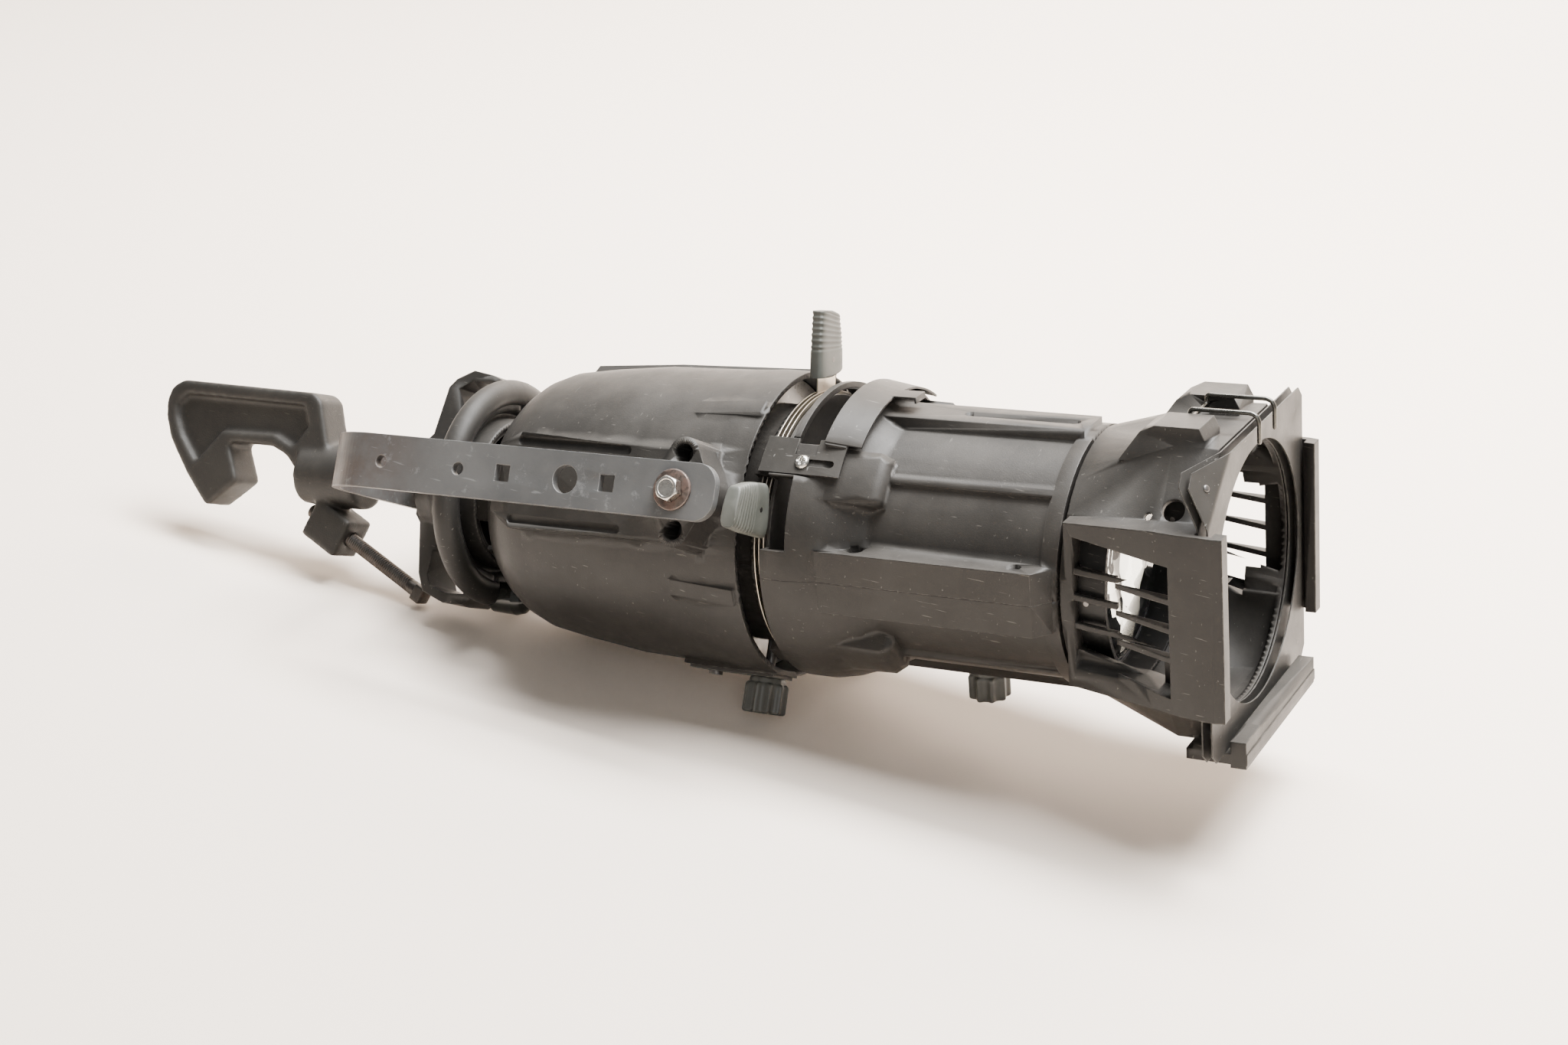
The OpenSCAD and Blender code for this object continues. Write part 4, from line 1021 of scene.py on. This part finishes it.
def make_leaf(node):
    """One leaf: thickness and size from the construction piece; the hole radius is given."""
    low, high = span(node, BARREL)
    half, thick, hole, clip = high[1], high[0] - low[0], FRAME_HOLE, FRAME_CLIP
    corner = math.atan2(half, half - clip)
    marks = [corner, math.pi / 2 - corner]
    angle = np.concatenate([np.linspace(0, 2 * math.pi, 360, endpoint=False)]
                           + [[q * math.pi / 2 + m for m in marks] for q in range(4)])
    angle = np.unique(angle.round(9))
    reach = outline_reach(angle, half, clip)
    share = np.linspace(0, 1, 44)[:, None]
    r = hole + share * (reach - hole)
    flat = np.stack([np.zeros_like(r), r * np.cos(angle), r * np.sin(angle)], -1)
    back, front = flat.copy(), flat[::-1].copy()
    front[..., 0] += thick
    points = fold(np.concatenate([back, front]))
    points[..., 0] += low[0]
    return skin(node + "_sheet", [(place(points, BARREL), True, True)], body_of(node),
                finish["colour_frame"], (node,), 40.0)


def make_frame_rivets():
    """Flat domes on both faces of each corner, carried over the fold where it passes."""
    low, high = span("frame_rivets", BARREL)
    dome = [(0, 0), (0, 1.0), (0.15, 1.6), (0.35, 1.85), (0.45, 1.9)]
    profile = np.array(dome + [(high[0] - low[0] - h, r) for h, r in dome[::-1]])
    grids = []
    for y in (-66.5, 66.5):
        for z in (-67.0, 67.0):
            disc = stand(turn(profile, 28), (0, y, z), (1, 0, 0), (0, 1, 0))
            bent = fold(disc)
            bent[..., 0] += low[0]
            grids.append((place(bent, BARREL), False, True))
    return skin("frame_rivets_domed", grids, body_of("frame_rivets"), finish[slot_of["frame_rivets"]],
                ("frame_rivets",))


make_leaf("frame_front_leaf")
make_leaf("frame_back_leaf")
make_frame_rivets()

# %% [markdown]
# ## Wire clip
# A spring wire is hinged between the cheeks of the holder and drops over the colour frame with
# two legs. It is one bent wire: from one foot up, back, down to the hinge, across and out again
# the same way, with two stubs that turn in the cheeks. A circle carried along a path with
# rounded corners gives the bends their even curve.

# %% Wire clip
WIRE_RADIUS = 1.2


def make_wire_clip():
    """Path in the barrel frame from the corners of the construction clip."""
    low, high = span("wire_clip", BARREL)
    hinge = (np.array(joint["clip_swing"]["pos_m"], float) - PIVOT) @ BARREL.T / MM
    stub = (high[1] - low[1]) / 2
    middle = (high[1] + low[1]) / 2
    leg = stub * 0.52
    tip, top, foot = high[0] - WIRE_RADIUS, high[2] - WIRE_RADIUS, low[2]
    half = [(tip, leg, foot), (tip, leg, top), (hinge[0], leg, top), (hinge[0], leg, hinge[2]),
            (hinge[0], 0.0, hinge[2])]
    mirrored = [(x, -y, z) for x, y, z in half[-2::-1]]
    corners = np.array(half + mirrored) + (0, middle, 0)
    path = smooth_path(corners, (6.0, 2.6, 2.6, 1.0, 2.6, 2.6, 6.0))
    grids = [(place(wire(path, WIRE_RADIUS), BARREL), False, True)]
    for side in (-1, 1):
        run = np.linspace((hinge[0], middle + side * (leg - 0.6), hinge[2]),
                          (hinge[0], middle + side * stub, hinge[2]), 6)
        grids.append((place(wire(run, WIRE_RADIUS * 0.99), BARREL), False, True))
    return skin("wire_clip_bent", grids, body_of("wire_clip"), finish["wire"], ("wire_clip",))


make_wire_clip()

# %% [markdown]
# ## Yoke bolts and washers
# Each arm turns on a bolt whose forged head is half an inch across. The head is a hexagon cut by a cone:
# its radius at each angle is the lesser of a/cos(angle within the flat) and the cone's radius at
# that height, which draws the curved chamfer by itself. The washer below is a stamped ring with
# one rolled edge.

# %% Bolts and washers
def hexagon(angle, flats):
    """Distance to the side of a hexagon of a given size across flats."""
    within = (angle + math.pi / 6) % (math.pi / 3) - math.pi / 6
    return flats / 2 / np.cos(within)


def make_yoke_bolts():
    """Shank, bearing face, hexagonal sides and chamfered top, for both bolts."""
    angle = np.arange(96) * 2 * math.pi / 96
    grids = []
    for (low, high) in solids("yoke_bolts", HOUSING):
        side = 1 if high[1] > 0 else -1
        outer = high[1] if side > 0 else -low[1]
        inner = low[1] if side > 0 else -high[1]
        seat = outer - 6.2
        flats = 12.7
        height = np.array([inner, inner, seat, seat, seat + 0.25, seat + 0.4, outer - 1.3, outer - 0.9,
                           outer - 0.5, outer - 0.15, outer, outer - 0.05, outer - 0.35, outer - 0.35])
        cone = np.array([0, 4.0, 4.0, 6.0, 6.25, 99, 7.2, 6.95, 6.6, 6.2, 5.9, 5.0, 4.6, 0])
        sides = hexagon(angle, flats)[None, :]
        radius = np.minimum(cone[:, None], np.where(cone[:, None] > 4.7, sides, cone[:, None]))
        points = np.zeros((len(height), len(angle), 3))
        points[..., 0] = radius * np.cos(angle)
        points[..., 1] = radius * np.sin(angle)
        points[..., 2] = height[:, None]
        points = stand(points, (0, 0, 0), (0, side, 0), (1, 0, 0.2))
        grids.append((place(points, HOUSING), False, True))
    return skin("yoke_bolts_forged", grids, body_of("yoke_bolts"), finish["bolt"],
                ("yoke_bolts",), 24.0)


def make_washers():
    """A closed ring profile (height, radius), rolled on its outer upper edge."""
    grids = []
    for (low, high) in solids("yoke_washers", HOUSING):
        side = 1 if high[1] > 0 else -1
        bottom = low[1] if side > 0 else -high[1]
        thick = high[1] - low[1]
        outer = (high[0] - low[0]) / 2
        arc = np.linspace(0, math.pi / 2, 6)
        profile = [(0, 4.1), (0, outer - 0.2), (0.2, outer)]
        profile += [(thick - 0.9 + 0.9 * math.sin(a), outer - 0.9 + 0.9 * math.cos(a)) for a in arc]
        profile += [(thick, 5.0), (thick - 0.3, 4.1)]
        points = stand(turn(profile, 72), (0, side * bottom, 0), (0, side, 0), (1, 0, 0))
        grids.append((place(points, HOUSING), True, True))
    return skin("yoke_washers_rolled", grids, body_of("yoke_washers"), finish["rusty"],
                ("yoke_washers",))


make_yoke_bolts()
make_washers()

# %% [markdown]
# ## Slot cover screws
# The cover is held by two pan head screws with a cross recess. The head is a height over a disc:
# a shallow dome, a rolled rim, and a cross whose depth falls off towards the ends of its arms.

# %% Cross recess screws
def pan_head(radius, dome):
    """Polar grid over the head: height(r, angle) = dome profile less the cross."""
    share = np.concatenate([np.linspace(0, 0.9, 26), [0.94, 0.97, 0.99, 1.0]])
    angle = np.arange(72) * 2 * math.pi / 72
    r = share[:, None] * radius
    x, y = r * np.cos(angle), r * np.sin(angle)
    height = dome * (1 - share[:, None] ** 5) * np.ones_like(x)
    arm, reach = 0.13 * radius, 0.62 * radius
    fade, edge = 0.30 * radius, 0.4 * arm
    along_x = (np.clip((reach - abs(x)) / fade, 0, 1)
               * np.clip((arm - abs(y)) / edge + 1, 0, 1))
    along_y = (np.clip((reach - abs(y)) / fade, 0, 1)
               * np.clip((arm - abs(x)) / edge + 1, 0, 1))
    height = height - 0.75 * dome * np.maximum(along_x, along_y)
    return np.stack([x, y, height], -1)


def make_slot_screws():
    """Head, rim and shank of each screw, standing on the pads of the barrel."""
    grids = []
    for low, high in solids("slot_screws", BARREL):
        middle = (low + high) / 2
        side = 1 if middle[1] > 0 else -1
        angle = math.radians(48.0)
        outward = np.array([0, side * math.cos(angle), math.sin(angle)])
        tangent = np.cross((1, 0, 0), outward)
        offset = 3.6 * side
        outer = 82.4 + 1.5 + 2.4
        foot = np.array([middle[0], 0, 0]) - offset * tangent
        head = pan_head(4.2, 1.7)
        head[..., 2] += outer - 1.7
        rim = turn([(outer - 1.7, 4.2), (outer - 2.4, 4.15), (outer - 2.4, 2.0), (78.5, 2.0),
                    (78.5, 0)], 72)
        for part in (head, rim):
            grids.append((place(stand(part, foot, outward, (1, 0, 0)), BARREL), False, True))
    return skin("slot_screws_cross", grids, body_of("slot_screws"), finish["bright_screws"],
                ("slot_screws",), 40.0)


make_slot_screws()

# %% [markdown]
# ## Pipe bolt
# The clamp closes on its pipe with a long square-headed bolt. The thread is a true helix: the
# radius at height z and angle a follows a triangle wave of z/pitch - a/(2 pi), and fades out into
# the tip and under the head. The head is a block with its corners taken off.

# %% Pipe bolt
def make_pipe_bolt():
    """Threaded rod and square head along the feed direction of the bolt."""
    towards = unit(joint["pipe_bolt_feed"]["axis"])
    mesh = nodes["pipe_bolt"].data
    co = np.zeros(len(mesh.vertices) * 3)
    mesh.vertices.foreach_get("co", co)
    local = co.reshape(-1, 3)
    reach = local @ towards
    tip, back = reach.max(), reach.min()
    sides = np.cross(towards, SWIVEL)
    rod = local[reach > back + 0.010]
    centre = (rod - np.outer(rod @ towards, towards))
    centre = (centre.min(0) + centre.max(0)) / 2
    radius, pitch, head = 4.75, 1.5875, 8.0
    length = (tip - back) / MM - head
    z = np.linspace(0, length, int(length / pitch * 9))
    angle = np.arange(30) * 2 * math.pi / 30
    phase = (z[:, None] / pitch - angle[None, :] / (2 * math.pi)) % 1.0
    cut = 0.62 * np.abs(2 * phase - 1) * np.clip((z[:, None] - 1.5) / 2, 0, 1)
    cut = cut * np.clip((length - z[:, None] - 4) / 3, 0, 1)
    taper = np.clip((1.2 - z[:, None]) / 1.2, 0, 1) * 1.1
    r = radius - cut - taper
    points = np.zeros((len(z), len(angle), 3))
    points[..., 0], points[..., 1], points[..., 2] = r * np.cos(angle), r * np.sin(angle), z[:, None]
    closed = np.concatenate([points[:1] * (0, 0, 1), points, points[-1:] * (0, 0, 1)])
    around = np.arange(64) * 2 * math.pi / 64
    square = np.stack([np.sign(np.cos(around)) * np.abs(np.cos(around)) ** 0.22,
                       np.sign(np.sin(around)) * np.abs(np.sin(around)) ** 0.22], -1)
    rows = [(length, 0), (length, 4.9), (length + 0.5, 5.5), (length + 6.9, 5.5), (length + 7.6, 5.0),
            (length + head, 4.2), (length + head, 0)]
    block = np.array([[(*(square_point * w), h) for square_point in square] for h, w in rows])
    start = centre + tip * towards
    grids = []
    for part in (closed, block):
        room = start + part @ np.array([SWIVEL, -sides, -towards]) * MM
        grids.append((room, False, True))
    return skin("pipe_bolt_threaded", grids, body_of("pipe_bolt"), finish["clamp_bolt"],
                ("pipe_bolt",), 30.0)


make_pipe_bolt()
